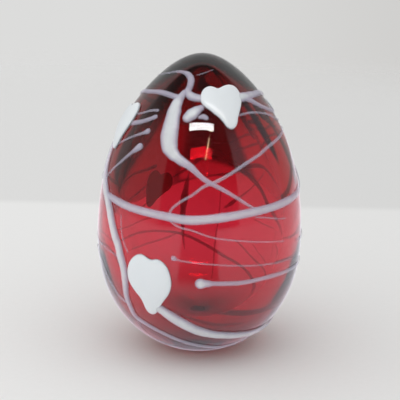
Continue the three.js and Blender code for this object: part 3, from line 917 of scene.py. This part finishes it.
class HeartForm(Enum):
    """The two outlines that the hearts were pressed to, in millimetres, from the dip round by the left."""

    SLANTING = (
        (-0.3, 6.4), (-1.6, 7.1), (-3.1, 7.6), (-5, 7.1), (-6.6, 5.5), (-7.6, 2.9), (-7.6, 1),
        (-6.7, -0.8), (-5.2, -2.4), (-3.3, -4.5), (-1.8, -6.1), (-0.5, -8), (0.7, -10),
        (2.3, -10.8), (3.9, -10.2), (5.1, -8.4), (5.7, -6.4), (6.6, -4.2), (7.8, -1.6), (8.7, 1.2),
        (9, 3.7), (8.6, 6.1), (7.2, 7.9), (5.1, 8.4), (2.8, 7.8), (1.1, 6.9),
    )
    HANGING = (
        (0.8, 8.6), (-0.9, 9), (-2.5, 9.8), (-4.6, 10), (-7.2, 8.6), (-9.4, 5.9), (-10.6, 2.2),
        (-10.3, -1.3), (-9.1, -3.8), (-7, -6.3), (-5.1, -8.4), (-4.1, -10.8), (-3.5, -13.4),
        (-2.3, -15.2), (-0.8, -15.6), (0.9, -14.6), (2.5, -12.1), (4, -9.6), (5.6, -7.3),
        (7.3, -4.8), (8.5, -1.7), (8.7, 0.9), (8.2, 3.7), (7.1, 6.4), (5.1, 8.4), (2.9, 9.1),
    )


@dataclass(frozen=True)
class Heart:
    """One heart, pressed on the skin with its point downwards: places in degrees, size against its form."""

    name: str
    azimuth: float
    latitude: float
    turn: float
    size: float
    form: HeartForm
    curve_steps: int = 6
    rise: float = 1.45 * MM
    sunk: float = 0.3 * MM
    squareness: float = 0.55
    rings: int = 33
    nudge: float = 0.1

    def outline(self) -> list[Vector]:
        """Draw the outline in the heart's own plane, in metres, from the dip round by the left lobe."""
        form = [Vector((across, up, 0)) * self.size * MM for across, up in self.form.value]
        ring = spline_through([form[-1], *form, form[0], form[1]], self.curve_steps)
        return [place for span, _, place in ring if 1 <= span <= len(form)]

    def route(self, egg: EggSkin) -> bpy.types.Curve:
        """Lay the outline flat against the skin at the heart's middle.

        Args:
            egg: The skin's sizes, which give the heart its place.

        Returns:
            The closed curve.
        """
        around, up, nudge = self.azimuth, self.latitude, self.nudge
        middle = egg.place(around, up)
        east = (egg.place(around + nudge, up) - egg.place(around - nudge, up)).normalized()
        north = (egg.place(around, up + nudge) - egg.place(around, up - nudge)).normalized()
        lean = math.radians(self.turn)
        right = east * math.cos(lean) + north * math.sin(lean)
        upward = north * math.cos(lean) - east * math.sin(lean)
        places = [middle + right * point.x + upward * point.y for point in self.outline()]
        return poly_curve(self.name, places, [1.0] * len(places), True)

    def sizes(self, egg: EggSkin) -> dict:
        """List the heart's inputs of its tree."""
        steps = self.curve_steps * len(self.form.value)
        return by_label(self) | {"Middle": egg.place(self.azimuth, self.latitude), "Steps": steps}


HEARTS = (
    Heart("heart_upper", 17.2, 51.1, 0, 1, HeartForm.SLANTING),
    Heart("heart_lower", -26.1, -9.7, 0, 1, HeartForm.HANGING),
    Heart("heart_left", -78, 39.5, 8, 1.06, HeartForm.SLANTING),
    Heart("heart_back", 212, 12.5, 11, 1, HeartForm.SLANTING),
    Heart("heart_right", 112, 43, -6, 0.7, HeartForm.SLANTING),
)

TRAIL_STOPS: dict[str, list[Stop]] = {
    "leaf_trail": [
        (-18.3, 55.4, 3), (-20.5, 53.3, 3.4), (-22.6, 50.2, 4.8), (-22.9, 46.1, 6.2),
        (-22.5, 41.5, 7.1), (-22, 37.8, 7.2), (-20.2, 34.7, 6.6), (-17.4, 32.7, 5.2),
        (-13.3, 31.1, 3.9), (-5.8, 28.8, 3), (-1.7, 26.9, 2.5), (2.9, 24.9, 2.3), (12.4, 22.1, 1.9),
        (22.5, 18.6, 1.6), (28.5, 16.4, 1.4), (33.5, 14.9, 1.3),
    ],
    "left_trail": [
        (-79, 33, 2.8), (-78, 28, 3.6), (-77, 23.5, 4.2), (-70, 18.5, 4.4), (-60, 13, 4.6),
        (-51.5, 5, 4.6), (-48, 2, 4.5), (-46.2, -1.2, 4.4), (-43.8, -7.2, 4.2), (-43.9, -13.9, 3.8),
        (-45.1, -21.3, 3.4), (-44.4, -27.4, 3.2), (-43.2, -33, 3), (-34.5, -37.5, 2.7),
        (-25.6, -41.5, 2.5), (-16.6, -45.5, 2.5), (-6.7, -49.5, 2.6), (4.6, -52.8, 2.6),
        (18, -55.9, 2.4), (30, -57, 2.2), (46, -56.5, 2), (62, -55, 1.4),
    ],
    "belt_trail": [
        (-67, 16, 3), (-56, 15.5, 3.3), (-40, 14.5, 3.4), (-16, 13.5, 3.5), (-6, 13, 3.8),
        (7, 13.5, 3.8), (24, 14.5, 3.6), (49, 15.5, 3.5), (78, 17, 3.2), (90, 19.5, 3), (102, 23, 2.8),
        (117, 24.5, 2.6), (132, 23.5, 2.6), (146, 21, 2.6), (157, 18, 2), (176, 16, 1.4),
    ],
    "bottom_trail": [
        (-25, -22.5, 4.2), (-20.4, -25, 4.6), (-15, -28.4, 5.2), (-8, -32.4, 5.6),
        (-0.5, -36.3, 5.4), (12.7, -40.3, 4.6), (20.4, -41.7, 4.4), (32, -43.4, 4.4),
        (47.4, -45, 4.2), (68, -45, 3.6), (90, -42.5, 2.8), (118, -38.5, 2), (137, -33.5, 1.8),
        (150, -29.5, 2), (168, -22.5, 2), (192, -12.5, 1.8), (205, -10, 1.5), (230, -8, 1.4),
        (248, -8.5, 1.4), (266, -7, 1.4), (279, -5, 1.5), (288, -7.3, 1.5), (295.4, -13.5, 1.6),
        (301.6, -18.9, 1.7), (306.7, -23.4, 1.7), (312.4, -25.6, 1.6),
    ],
    "back_sweep": [
        (200, 16, 1.6), (190, 19, 2), (180, 23, 2.2), (168, 25.5, 2.6), (157, 23.5, 2.8),
        (148, 20.5, 3), (139, 18, 3.2), (130, 14, 3.2), (122, 9, 3.2), (111, 5, 3), (94, 2, 2.4),
        (80, 1.5, 1.6), (66, 2.5, 0.9),
    ],
    "cross_trail": [
        (152, 27, 1.1), (138, 30, 1.3), (120, 33.5, 1.4), (102, 36, 1.5), (91, 37.5, 1.6),
        (81, 37, 1.6), (62, 35.5, 1.6), (49, 34, 1.6), (37, 31.5, 1.6), (27.4, 29.5, 1.6),
        (18.3, 27, 1.5), (9, 24.5, 1.6), (2, 23, 1.5), (-4, 20.5, 1.3), (-11, 18, 1.2),
        (-15.5, 15.5, 1.2), (-16, 13, 1.2), (-11.5, 11, 1.1), (-4, 10, 1), (7, 8, 0.9), (23, 6.5, 0.8),
        (52, 4, 0.8),
    ],
    "crown_hook": [
        (215, 54, 0.8), (240, 58, 1), (262, 61, 1), (282, 62.6, 1), (299.5, 64.3, 1.1),
        (313, 65.9, 1.3), (327.2, 66.2, 1.9), (339.1, 64.9, 2.7), (345.4, 61.9, 2.9),
        (345.8, 58.5, 2.7), (345.2, 55.9, 3.2), (349.6, 54, 3.7), (357.5, 53.2, 3.4),
        (362.3, 53.1, 3),
    ],
    "shoulder_trail": [
        (185, 34.5, 1), (205, 38, 1.6), (225, 43.5, 2), (250, 48.5, 2.2), (272, 52, 2.3),
        (288.5, 53.3, 2.3), (296.8, 53.7, 2.3), (310.4, 54.4, 2.4), (322.1, 54.2, 2.5),
        (330.1, 53.6, 2.6), (337, 53, 3),
    ],
    "small_drop": [
        (-10.8, 45.3, 4.2), (-7.8, 46.7, 5), (-4.4, 48.1, 4), (-0.8, 49.3, 2.8),
    ],
    "tiny_drop": [
        (-1.6, 45.6, 1.8), (1.3, 45.9, 2.4), (3.4, 45.4, 2.2),
    ],
    "arm_wide": [
        (37, 53, 4.6), (44, 53.2, 4.2), (50.1, 53.4, 3.6), (64.2, 53.6, 3), (82.1, 53.2, 2.8),
        (97, 51.5, 2.8),
    ],
    "arm_fork": [
        (45, 52.4, 2.8), (50.7, 51.2, 2.7), (56.6, 49.5, 2.5), (63.6, 47.8, 2.4), (73, 46.1, 2.3),
        (84, 44.8, 2.2), (97, 44.5, 2),
    ],
    "arm_thin": [
        (30.5, 46, 1.2), (39, 46.6, 1.2), (49.3, 46.4, 1.3), (63.7, 44.9, 1.3), (80, 41.8, 1.3),
        (100, 39.5, 1.3), (116, 38, 1.3), (130, 36, 1.3), (143, 33, 1.4), (157, 30, 1.2),
        (171, 29, 0.8),
    ],
    "crown_thread": [
        (-8, 65, 0.6), (3, 66.5, 0.6), (18, 68.5, 0.6),
    ],
    "dash_top": [
        (-66, 43.5, 1.2), (-54, 45, 1.2), (-46, 46.5, 1.2), (-38.5, 47, 1.5),
    ],
    "dash_upper": [
        (-59.5, 40.5, 2.4), (-49.3, 42, 2.2), (-42.3, 43.5, 2.1), (-38, 44.5, 2.2),
    ],
    "dash_middle": [
        (-67, 32.5, 1.3), (-53.7, 36, 1.3), (-44.5, 38, 1.5), (-40, 39, 2.7),
    ],
    "dash_lower": [
        (-71, 21, 1.3), (-57, 27, 1.5), (-48.5, 31, 1.8), (-42.5, 33.5, 3.2),
    ],
    "left_back_trail": [
        (-78, 19.5, 2), (-90, 19.5, 2), (-114, 20.5, 2), (-131, 21, 2.2), (-142, 21.5, 2.4),
    ],
    "belt_tail": [
        (31.5, 13.1, 0.8), (40, 12.3, 0.8), (48.5, 11.2, 0.8), (54, 10.8, 0.7),
    ],
    "low_thread": [
        (-44, -36, 1.3), (-44.1, -39, 1.3), (-45.2, -43.2, 1.3), (-42.5, -47.6, 1.3),
        (-39, -52.2, 1.3), (-31, -56, 1.4), (-17, -59, 1.5), (4, -61, 1.5), (24, -62, 1.4),
        (50, -61, 1.1),
    ],
    "left_thread": [
        (-47.5, 11.5, 0.7), (-45.8, 6, 0.9), (-43.3, 3, 0.9), (-40.5, 1, 0.8),
    ],
    "side_thread": [
        (-48, -2, 1), (-59.3, -1, 1), (-72, 0, 1), (-90, 0.5, 1), (-116, -2, 1), (-135, -0.5, 1),
        (-144, 0, 0.9),
    ],
    "ball_thread": [
        (-13, 1.5, 2.4), (-10.5, 1, 0.9), (-3.2, 0.5, 0.8), (7, 0, 0.8), (24, -1.5, 0.8), (44, -3, 0.8),
        (62, -3.5, 0.7),
    ],
    "ball_trail": [
        (1.2, -9, 4.6), (4.5, -9, 3.4), (8, -9, 2.3), (24, -9.5, 2.2), (40, -9, 2.2), (67, -9.5, 2),
        (85, -10, 1.9), (102, -8.5, 1.5),
    ],
    "spindle_trail": [
        (188.5, 18, 0.8), (190, 12, 2.8), (191, 7.5, 4.4), (192, 2, 3.2), (192, -5.5, 2.2),
        (192, -12.5, 1.6), (191, -22.5, 0.8),
    ],
    "fork_trail": [
        (153, -14.5, 1), (144, -19, 1.3), (131, -24.5, 1.5), (115, -28, 1.3), (100, -30, 1.2),
        (84, -30.5, 1),
    ],
    "fork_thread": [
        (136, -15, 0.8), (124, -20.5, 0.8), (113, -24.5, 0.8),
    ],
    "upright_thread": [
        (105, -0.5, 1), (109.5, -10, 1.1), (107, -19, 1), (106, -26, 0.9),
    ],
    "drop_trail": [
        (119, 22, 0.9), (130, 18, 1), (141, 13, 1), (150, 9, 1.4), (157, 6, 2.6), (162, 4, 1.4),
    ],
    "back_thread": [
        (165, 11.5, 0.8), (166.5, 1, 0.8), (168, -16.5, 1), (168, -25.5, 1), (166, -44.5, 0.8),
    ],
    "short_thread": [
        (138, 0.5, 1), (123, -0.5, 1), (111, 0, 1),
    ],
    "branch_thread": [
        (242, -16.5, 1), (229, -16.5, 1.1), (214, -15.5, 1.2), (203, -14, 1.2), (197, -12, 1),
    ],
    "heart_tail": [
        (222, 14.5, 1.4), (233, 12, 1.8), (243, 9.5, 1.2), (252, 6.5, 0.8),
    ],
    "point_tail": [
        (214, 7.5, 1.2), (222, 6, 1.4), (231, 4.5, 0.9),
    ],
}


@dataclass
class OpalDecoration:
    """The hearts and trails on the outside of the egg."""

    egg: EggSkin
    heart_glass: OpalGlass = OpalGlass(
        "dense white opal glass", 3.0, thin="#D2D5DC", half_cover=0.3 * MM, full_cover=1.0 * MM
    )
    trail_glass: OpalGlass = OpalGlass("drawn white opal glass", 0.95)

    def build(self, skin_tree: Tree) -> list[bpy.types.Object]:
        """Build and dress every heart and trail on a skin that is there only for this.

        Args:
            skin_tree: The tree that shapes an egg skin.

        Returns:
            The pieces.
        """
        seat = seat_tree()
        laid, pressed = laid_trail_tree(seat), pressed_heart_tree(seat)
        skin = grow("egg_skin", None, skin_tree, self.egg.sizes())
        dense, drawn = self.heart_glass.material(), self.trail_glass.material()
        trails = [Trail(name, tuple(stops)) for name, stops in TRAIL_STOPS.items()]
        shapes = [(heart, pressed, heart.sizes(self.egg) | {"Glass": dense}) for heart in HEARTS]
        shapes += [(trail, laid, by_label(trail) | {"Glass": drawn}) for trail in trails]
        pieces = [
            grow(shape.name + "_glass", shape.route(self.egg), tree, sizes | {"Skin": skin})
            for shape, tree, sizes in shapes
        ]
        bpy.data.objects.remove(skin)
        return pieces


class Ray:
    """What the nodes of a shader know of the ray that asks for a colour.

    The place is the one that the ray meets, or its direction, and x, y and z are its parts. The turn is its
    angle round the upright axis, in radians from the front towards +X. The ray is early until it has met
    something matt.
    """

    def __init__(self, tree: Tree, place: bpy.types.NodeSocket) -> None:
        """Start a shader's nodes.

        Args:
            tree: The tree that they join.
            place: The place or the direction.
        """
        self.tree, self.place = tree, place
        self.add = partial(add_node, tree)
        self.x, self.y, self.z = self.add(PARTS, (place,)).outputs
        self.turn = self.add(Sum.ARCTAN2, (self.x, self.add(Sum.MULTIPLY, (self.y, -1.0))))
        path = self.add("ShaderNodeLightPath").outputs
        self.seen, self.mirrored = path["Is Camera Ray"], path["Is Glossy Ray"]
        self.through = path["Is Transmission Ray"]
        self.early = self.add(Sum.LESS_THAN, (path["Diffuse Depth"], 0.5))

    def outside(self, left: float, right: float, blur: float) -> Node:
        """Tell how far the turn lies outside a part of the room before the egg.

        Args:
            left: Where that part ends to the left, in degrees.
            right: Where it ends to the right.
            blur: Half the width of its soft edges, in degrees.

        Returns:
            The node, which gives 0 inside and 1 outside.
        """
        middle, half = math.radians(right - left) / 2, (right + left) / 2
        aside = self.add(Sum.ABSOLUTE, (self.add(Sum.SUBTRACT, (self.turn, middle)),))
        return self.add(Blend.EASE, (aside, math.radians(half - blur), math.radians(half + blur)))


@dataclass(frozen=True)
class RoomLight:
    """The room round the table: even light on all that is matt, and what the glass mirrors and bends.

    The outer skin mirrors pale walls to both sides and behind, a dark room before the egg and a dim ceiling.
    Through the glass a dark doorway shows straight behind, with a pale strip low in it, and pale walls
    beside it up to a low horizon. Angles are in degrees, and those round the room are counted from the
    front, to both sides. Other bounds are parts of a direction of length 1.
    """

    # What the camera sees: a backdrop with painted shade that darkens it a little to the right.
    backdrop_left: str = "#DCDCDB"
    backdrop_right: str = "#CECDCB"
    shade_from: float = -0.12
    shade_to: float = 0.3

    # Light on matt things, and the share of it that reaches them through the glass.
    even: float = 0.45
    overhead: float = 0.83
    leftward: float = 0.28
    frontward: float = 0.45
    crossing: float = 0.85

    # The dark room before the egg.
    front: float = 0.07
    front_ceiling: float = 0.15
    front_left: float = 45.0
    front_right: float = 44.0
    front_edge: float = 1.5

    # What the skin mirrors beside and behind the egg.
    left_wall: str = "#BCBCBC"
    right_wall: str = "#DEDDE6"
    side_blur: float = 20.0
    wall_top: float = 30.0
    ceiling: float = 62.0
    behind_from: float = 0.28
    behind_to: float = 0.38
    behind: float = 0.6
    behind_gain: float = 0.33

    # What shows through the glass straight behind the egg.
    doorway: float = 0.09
    doorway_left: float = 176.0
    doorway_right: float = 168.0
    doorway_edge: float = 2.0
    strip: float = 0.55
    strip_left: float = -0.06
    strip_low: float = -0.118
    strip_high: float = -0.072
    strip_blur: float = 0.008

    # What shows through the glass beside the doorway.
    above: float = 0.05
    left_shown: float = 0.35
    right_shown: float = 0.58
    back_left: float = 110.0
    back_right: float = 133.0
    back_edge: float = 10.0
    left_horizon: float = 5.0
    right_horizon: float = 11.0
    side_horizon: float = 30.0
    horizon_blur: float = 0.03

    def off_front(self, ray: Ray) -> Node:
        """Tell how far a direction lies outside the dark room before the egg."""
        return ray.outside(self.front_left, self.front_right, self.front_edge)

    def rightward(self, ray: Ray) -> Node:
        """Tell how far a direction lies to the right of the front."""
        blur = math.radians(self.side_blur)
        return ray.add(Blend.EASE, (ray.turn, -blur, blur))

    def mirrored(self, ray: Ray) -> Node:
        """Work out what the outer skin mirrors.

        Args:
            ray: What is known of the ray.

        Returns:
            The node that gives its colour.
        """
        add = ray.add
        heights = (math.sin(math.radians(angle)) for angle in (self.wall_top, self.ceiling))
        high = add(Blend.EASE, (ray.z, *heights))
        walls = add(Blend.COLOUR, (self.rightward(ray), linear(self.left_wall), linear(self.right_wall)))
        dim = add(Sum.MULTIPLY_ADD, (high, self.front_ceiling - self.front, self.front))
        low = add(Sum.SUBTRACT, (1.0, high))
        lit = add(Sum.MULTIPLY, (self.off_front(ray), low))
        room = add(Blend.COLOUR, (lit, dim, walls))
        back = add(Blend.EASE, (ray.y, self.behind_from, self.behind_to))
        bright = add(Sum.MULTIPLY_ADD, (ray.z, self.behind_gain, self.behind))
        return add(Blend.COLOUR, (back, room, bright))

    def pale_strip(self, ray: Ray) -> Node:
        """Tell how far a direction lies in the pale strip low in the doorway.

        Args:
            ray: What is known of the ray.

        Returns:
            The node, which gives 1 inside and 0 outside.
        """
        blur = self.strip_blur
        edges = ((ray.x, self.strip_left, blur), (ray.z, self.strip_low, blur))
        edges = (*edges, (ray.z, self.strip_high, -blur))
        left, low, high = (ray.add(Blend.EASE, (part, at - soft, at + soft)) for part, at, soft in edges)
        return ray.add(Sum.MULTIPLY, (ray.add(Sum.MULTIPLY, (left, low)), high))

    def bent(self, ray: Ray) -> Node:
        """Work out what shows through the glass.

        Args:
            ray: What is known of the ray.

        Returns:
            The node that gives its grey.
        """
        add, rightward = ray.add, self.rightward(ray)
        angles = (self.side_horizon, self.left_horizon, self.right_horizon)
        beside, left, right = (math.sin(math.radians(angle)) for angle in angles)
        far = add(Blend.NUMBER, (rightward, left, right))
        back = ray.outside(self.back_left, self.back_right, self.back_edge)
        over = add(Sum.SUBTRACT, (ray.z, add(Blend.NUMBER, (back, beside, far))))
        below = add(Blend.EASE, (over, self.horizon_blur, -self.horizon_blur))
        sides = (rightward, self.right_shown - self.left_shown, self.left_shown - self.above)
        walls = add(Sum.MULTIPLY_ADD, (add(Sum.MULTIPLY_ADD, sides), below, self.above))
        dark = add(Sum.MULTIPLY_ADD, (self.pale_strip(ray), self.strip - self.doorway, self.doorway))
        doorway = ray.outside(self.doorway_left, self.doorway_right, self.doorway_edge)
        behind = add(Blend.NUMBER, (doorway, walls, dark))
        return add(Blend.NUMBER, (self.off_front(ray), self.front, behind))

    def on_matt(self, ray: Ray) -> Node:
        """Work out the light on matt things: more from overhead, the left and the front, less through glass.

        Args:
            ray: What is known of the ray.

        Returns:
            The node that gives its level.
        """
        add = ray.add
        level = add(Sum.MULTIPLY_ADD, (add(Sum.MAXIMUM, (ray.z, 0.0)), self.overhead, self.even))
        left = add(Sum.MULTIPLY_ADD, (ray.x, -self.leftward, level))
        sky = add(Sum.MULTIPLY_ADD, (ray.y, -self.frontward, left))
        late = add(Sum.SUBTRACT, (1.0, ray.early))
        crossed = add(Sum.MULTIPLY, (late, ray.through))
        kept = add(Sum.MULTIPLY_ADD, (crossed, self.crossing - 1.0, 1.0))
        return add(Sum.MULTIPLY, (sky, kept))

    def hang(self) -> None:
        """Put the room round the scene."""
        world = bpy.data.worlds.new("room round the table")
        bpy.context.scene.world = world
        world.use_nodes = True
        tree = world.node_tree
        ray = Ray(tree, add_node(tree, "ShaderNodeTexCoord").outputs["Generated"])
        glass = ray.add(Blend.COLOUR, (ray.through, self.mirrored(ray), self.bent(ray)))
        either = ray.add(Sum.MAXIMUM, (ray.mirrored, ray.through))
        shown = ray.add(Sum.MULTIPLY, (either, ray.early))
        light = ray.add(Blend.COLOUR, (shown, self.on_matt(ray), glass))
        # painted shade: the backdrop darkens to the right
        aside = ray.add(Blend.EASE, (ray.x, self.shade_from, self.shade_to))
        backdrop = ray.add(Blend.COLOUR, (aside, linear(self.backdrop_left), linear(self.backdrop_right)))
        whole = ray.add(Blend.COLOUR, (ray.seen, light, backdrop))
        feed(tree, tree.nodes["Background"], {"Color": whole})


def face_egg(
    held: bpy.types.Object, azimuth: float, elevation: float, distance: float, height: float, lean: float
) -> None:
    """Place a lamp or a camera round the egg and turn it to the egg's axis.

    Args:
        held: The lamp or the camera.
        azimuth: Degrees round the axis, from the front towards +X.
        elevation: Degrees above the level.
        distance: How far it is from what it faces.
        height: The height on the axis that it faces.
        lean: How far it leans to its side, in radians.
    """
    turn, rise = math.radians(azimuth), math.radians(elevation)
    way = Vector((math.sin(turn) * math.cos(rise), -math.cos(turn) * math.cos(rise), math.sin(rise)))
    held.location = way * distance + Vector((0, 0, height))
    held.rotation_mode = "QUATERNION"
    held.rotation_quaternion = (-way).to_track_quat("-Z", "Y")
    held.rotation_quaternion.rotate(Quaternion(way, lean))


@dataclass(frozen=True)
class Lamp:
    """One flat lamp that only shows as a glint: its place as seen from the egg, its size and its power.

    Angles are in degrees, lengths in metres and power in watts.
    """

    name: str
    azimuth: float
    elevation: float
    width: float
    height: float
    power: float
    colour: str = "#FFFFFF"
    lean: float = 0.0
    distance: float = 0.5
    aim: float = 80 * MM

    def hang(self) -> None:
        """Hang the lamp, facing the egg."""
        light = bpy.data.lights.new(self.name, "AREA")
        light.shape = "RECTANGLE"
        light.size, light.size_y, light.energy = self.width, self.height, self.power
        light.color = linear(self.colour)[:3]
        hung = stand(self.name, light)
        hung.visible_diffuse = False
        face_egg(hung, self.azimuth, self.elevation, self.distance, self.aim, math.radians(self.lean))


@dataclass(frozen=True)
class PaperOnTable:
    """A sheet of matt white paper on a matt grey table.

    To the eye the paper is pale and faintly flecked, and painted shade makes it a little darker to the right.
    The glass mirrors the paper brighter, by a painted glow, apart from a dark wedge straight before the egg,
    where a painted shadow darkens it, and what it bends doesn't show the table's far part. The camera sees
    none of this painted glow and shadow in the paper itself.
    """

    paper: str = "#E9E9E8"
    table: str = "#DEDEDD"
    sheet_edge: float = 230 * MM
    edge_blur: float = 8 * MM
    fleck: float = 0.03
    fleck_length: float = 2.5 * MM
    # painted shade: the paper darkens to the right to this share, between the two places below
    shade: float = 0.95
    shade_from: float = -0.1
    shade_to: float = 0.15
    fade_from: float = 1.2
    fade_to: float = 0.6
    far_edge: float = 0.612
    far_slope: float = 2.15
    far_blur: float = 0.03
    far_least: float = 0.37
    far_least_blur: float = 0.02
    # painted glow: the colour that the paper glows in, seen only in what the glass mirrors
    mirrored_more: str = "#B2AEC0"
    # painted shadow: a wedge before the egg where what the glass mirrors of the paper is darkened to the tone
    # below
    wedge: float = 19.0
    wedge_edge: float = 2.0
    wedge_start: float = 0.1
    wedge_blur: float = 0.02
    wedge_tone: float = 0.3
    roughness: float = 0.7
    gloss: float = 0.2

    def flecked(self, ray: Ray) -> Node:
        """Work out the colour of paper and table, with painted shade that darkens it to the right.

        Args:
            ray: What is known of the ray.

        Returns:
            The node that gives it.
        """
        add = ray.add
        square = add(Sum.MAXIMUM, [add(Sum.ABSOLUTE, (part,)) for part in (ray.x, ray.y)])
        edge = (square, self.sheet_edge - self.edge_blur, self.sheet_edge + self.edge_blur)
        tint = add(Blend.COLOUR, (add(Blend.EASE, edge), linear(self.paper), linear(self.table)))
        grain = add(NOISE, {"Vector": ray.place, "Scale": 1 / self.fleck_length})
        # painted shade: darker to the right
        rightward = add(Blend.EASE, (ray.x, self.shade_from, self.shade_to))
        shade = add(Sum.MULTIPLY_ADD, (rightward, self.shade - 1.0, 1 - self.fleck / 2))
        value = add(Sum.MULTIPLY_ADD, (grain, self.fleck, shade))
        return add("ShaderNodeHueSaturation", {"Value": value, "Color": tint})

    def solid_part(self, ray: Ray) -> Node:
        """Work out where the table is solid: it fades out far away, and its far part isn't bent by the glass.

        Args:
            ray: What is known of the ray.

        Returns:
            The node, which gives 1 where the table is solid.
        """
        add = ray.add
        far = add(VECTOR_MATH, (ray.place,), operation="LENGTH").outputs["Value"]
        faded = add(Blend.EASE, (far, self.fade_from, self.fade_to))
        slant = add(Sum.MULTIPLY_ADD, (ray.x, -self.far_slope, ray.y))
        edges = ((slant, self.far_edge, self.far_blur), (ray.y, self.far_least, self.far_least_blur))
        past = [add(Blend.EASE, (value, at - soft, at + soft)) for value, at, soft in edges]
        bent = add(Sum.MULTIPLY, (ray.through, ray.early))
        lost = add(Sum.MULTIPLY, (bent, add(Sum.MULTIPLY, past)))
        return add(Sum.MULTIPLY, (faded, add(Sum.SUBTRACT, (1.0, lost))))

    def outside_wedge(self, ray: Ray) -> Node:
        """Tell how far a place lies outside the painted shadow wedge before the egg.

        Args:
            ray: What is known of the ray.

        Returns:
            The node, which gives 0 inside and 1 outside.
        """
        start = (ray.y, -self.wedge_start - self.wedge_blur, -self.wedge_start + self.wedge_blur)
        aside = ray.outside(self.wedge, self.wedge, self.wedge_edge)
        return ray.add(Sum.MAXIMUM, (aside, ray.add(Blend.EASE, start)))

    def material(self) -> bpy.types.Material:
        """Make the paper and the table, with a painted glow and a painted shadow that only the glass mirrors.
        """
        made, place = open_material("matt paper on a matt table")
        ray = Ray(made.node_tree, place)
        outward = ray.add(Sum.SUBTRACT, (1.0, ray.through))
        mirrored = ray.add(Sum.MULTIPLY, (ray.mirrored, outward))
        counted = ray.add(Sum.MULTIPLY, (mirrored, ray.early))
        # painted glow: outside the wedge, the paper glows in what the outer skin mirrors
        more = ray.add(Sum.MULTIPLY, (counted, self.outside_wedge(ray)))
        # painted shadow: inside the wedge, what the glass mirrors of the paper is darkened
        shaded = ray.add(Sum.SUBTRACT, (counted, more))
        kept = ray.add(Sum.MULTIPLY_ADD, (shaded, self.wedge_tone - 1, 1.0))
        toned = ray.add("ShaderNodeHueSaturation", {"Value": kept, "Color": self.flecked(ray)})
        finish = {"Base Color": toned, "Alpha": self.solid_part(ray), "Emission Strength": more}
        finish |= {"Emission Color": linear(self.mirrored_more), "Roughness": self.roughness}
        finish["Specular IOR Level"] = self.gloss
        feed(ray.tree, ray.tree.nodes["Principled BSDF"], finish)
        return made


@dataclass
class Studio:
    """A pale paper sheet on a pale table, the room round it, the lamps and the camera."""

    table_radius: float = 1.2
    table_steps: int = 96
    camera_distance: float = 420 * MM
    camera_elevation: float = 14.0
    camera_lens: float = 93.55
    camera_roll: float = 0.0208
    camera_target: float = 60.8 * MM
    bounces: int = 24
    mirror_bounces: int = 12
    see_through: int = 16
    surface: PaperOnTable = PaperOnTable()
    room: RoomLight = RoomLight()
    lamps: tuple[Lamp, ...] = (
        Lamp("window lamp", 0, 50.5, 0.26, 0.045, 0.87),
        Lamp("thin warm lamp", 10.5, 38, 0.0024, 0.17, 0.14, "#FFDFA8", -24),
    )

    def build_table(self) -> None:
        """Build the round table top, with the paper sheet in its material."""
        around, radius = self.table_steps, self.table_radius
        turns = [2 * math.pi * j / around for j in range(around)]
        verts = [(0.0, 0.0, 0.0), *((radius * math.cos(t), radius * math.sin(t), 0.0) for t in turns)]
        mesh = bpy.data.meshes.new("table_top")
        mesh.from_pydata(verts, [], [(0, j + 1, (j + 1) % around + 1) for j in range(around)])
        mesh.materials.append(self.surface.material())
        table = stand("table_top", mesh)

    def place_camera(self) -> None:
        """Place the camera before the egg, a little above it and leaning as the photograph does."""
        camera = bpy.data.cameras.new("camera")
        camera.lens = self.camera_lens
        held = stand("camera", camera)
        face_egg(held, 0.0, self.camera_elevation, self.camera_distance, self.camera_target, self.camera_roll)
        bpy.context.scene.camera = held

    def set_render(self) -> None:
        """Set plain colour and enough bounces for light to cross every wall of the egg."""
        scene = bpy.context.scene
        scene.view_settings.view_transform = "Standard"
        scene.cycles.max_bounces = self.bounces
        scene.cycles.transmission_bounces = self.bounces
        scene.cycles.glossy_bounces = self.mirror_bounces
        scene.cycles.transparent_max_bounces = self.see_through

    def build(self) -> None:
        """Build the whole studio."""
        self.build_table()
        self.room.hang()
        for lamp in self.lamps:
            lamp.hang()
        self.place_camera()
        self.set_render()


def main() -> None:
    """Build the egg, its decoration and the studio, in that order."""
    logging.basicConfig(level=logging.INFO, format="%(name)s: %(message)s")
    skin_tree = egg_skin_tree()
    egg = BlownEgg()
    for piece in egg.build_layers(glass_wall_tree(skin_tree)):
        hand_over(piece)
    hand_over(egg.build_seal())
    for piece in OpalDecoration(egg.outer_skin()).build(skin_tree):
        hand_over(piece)
    Studio().build()


if __name__ == "__main__":
    main()
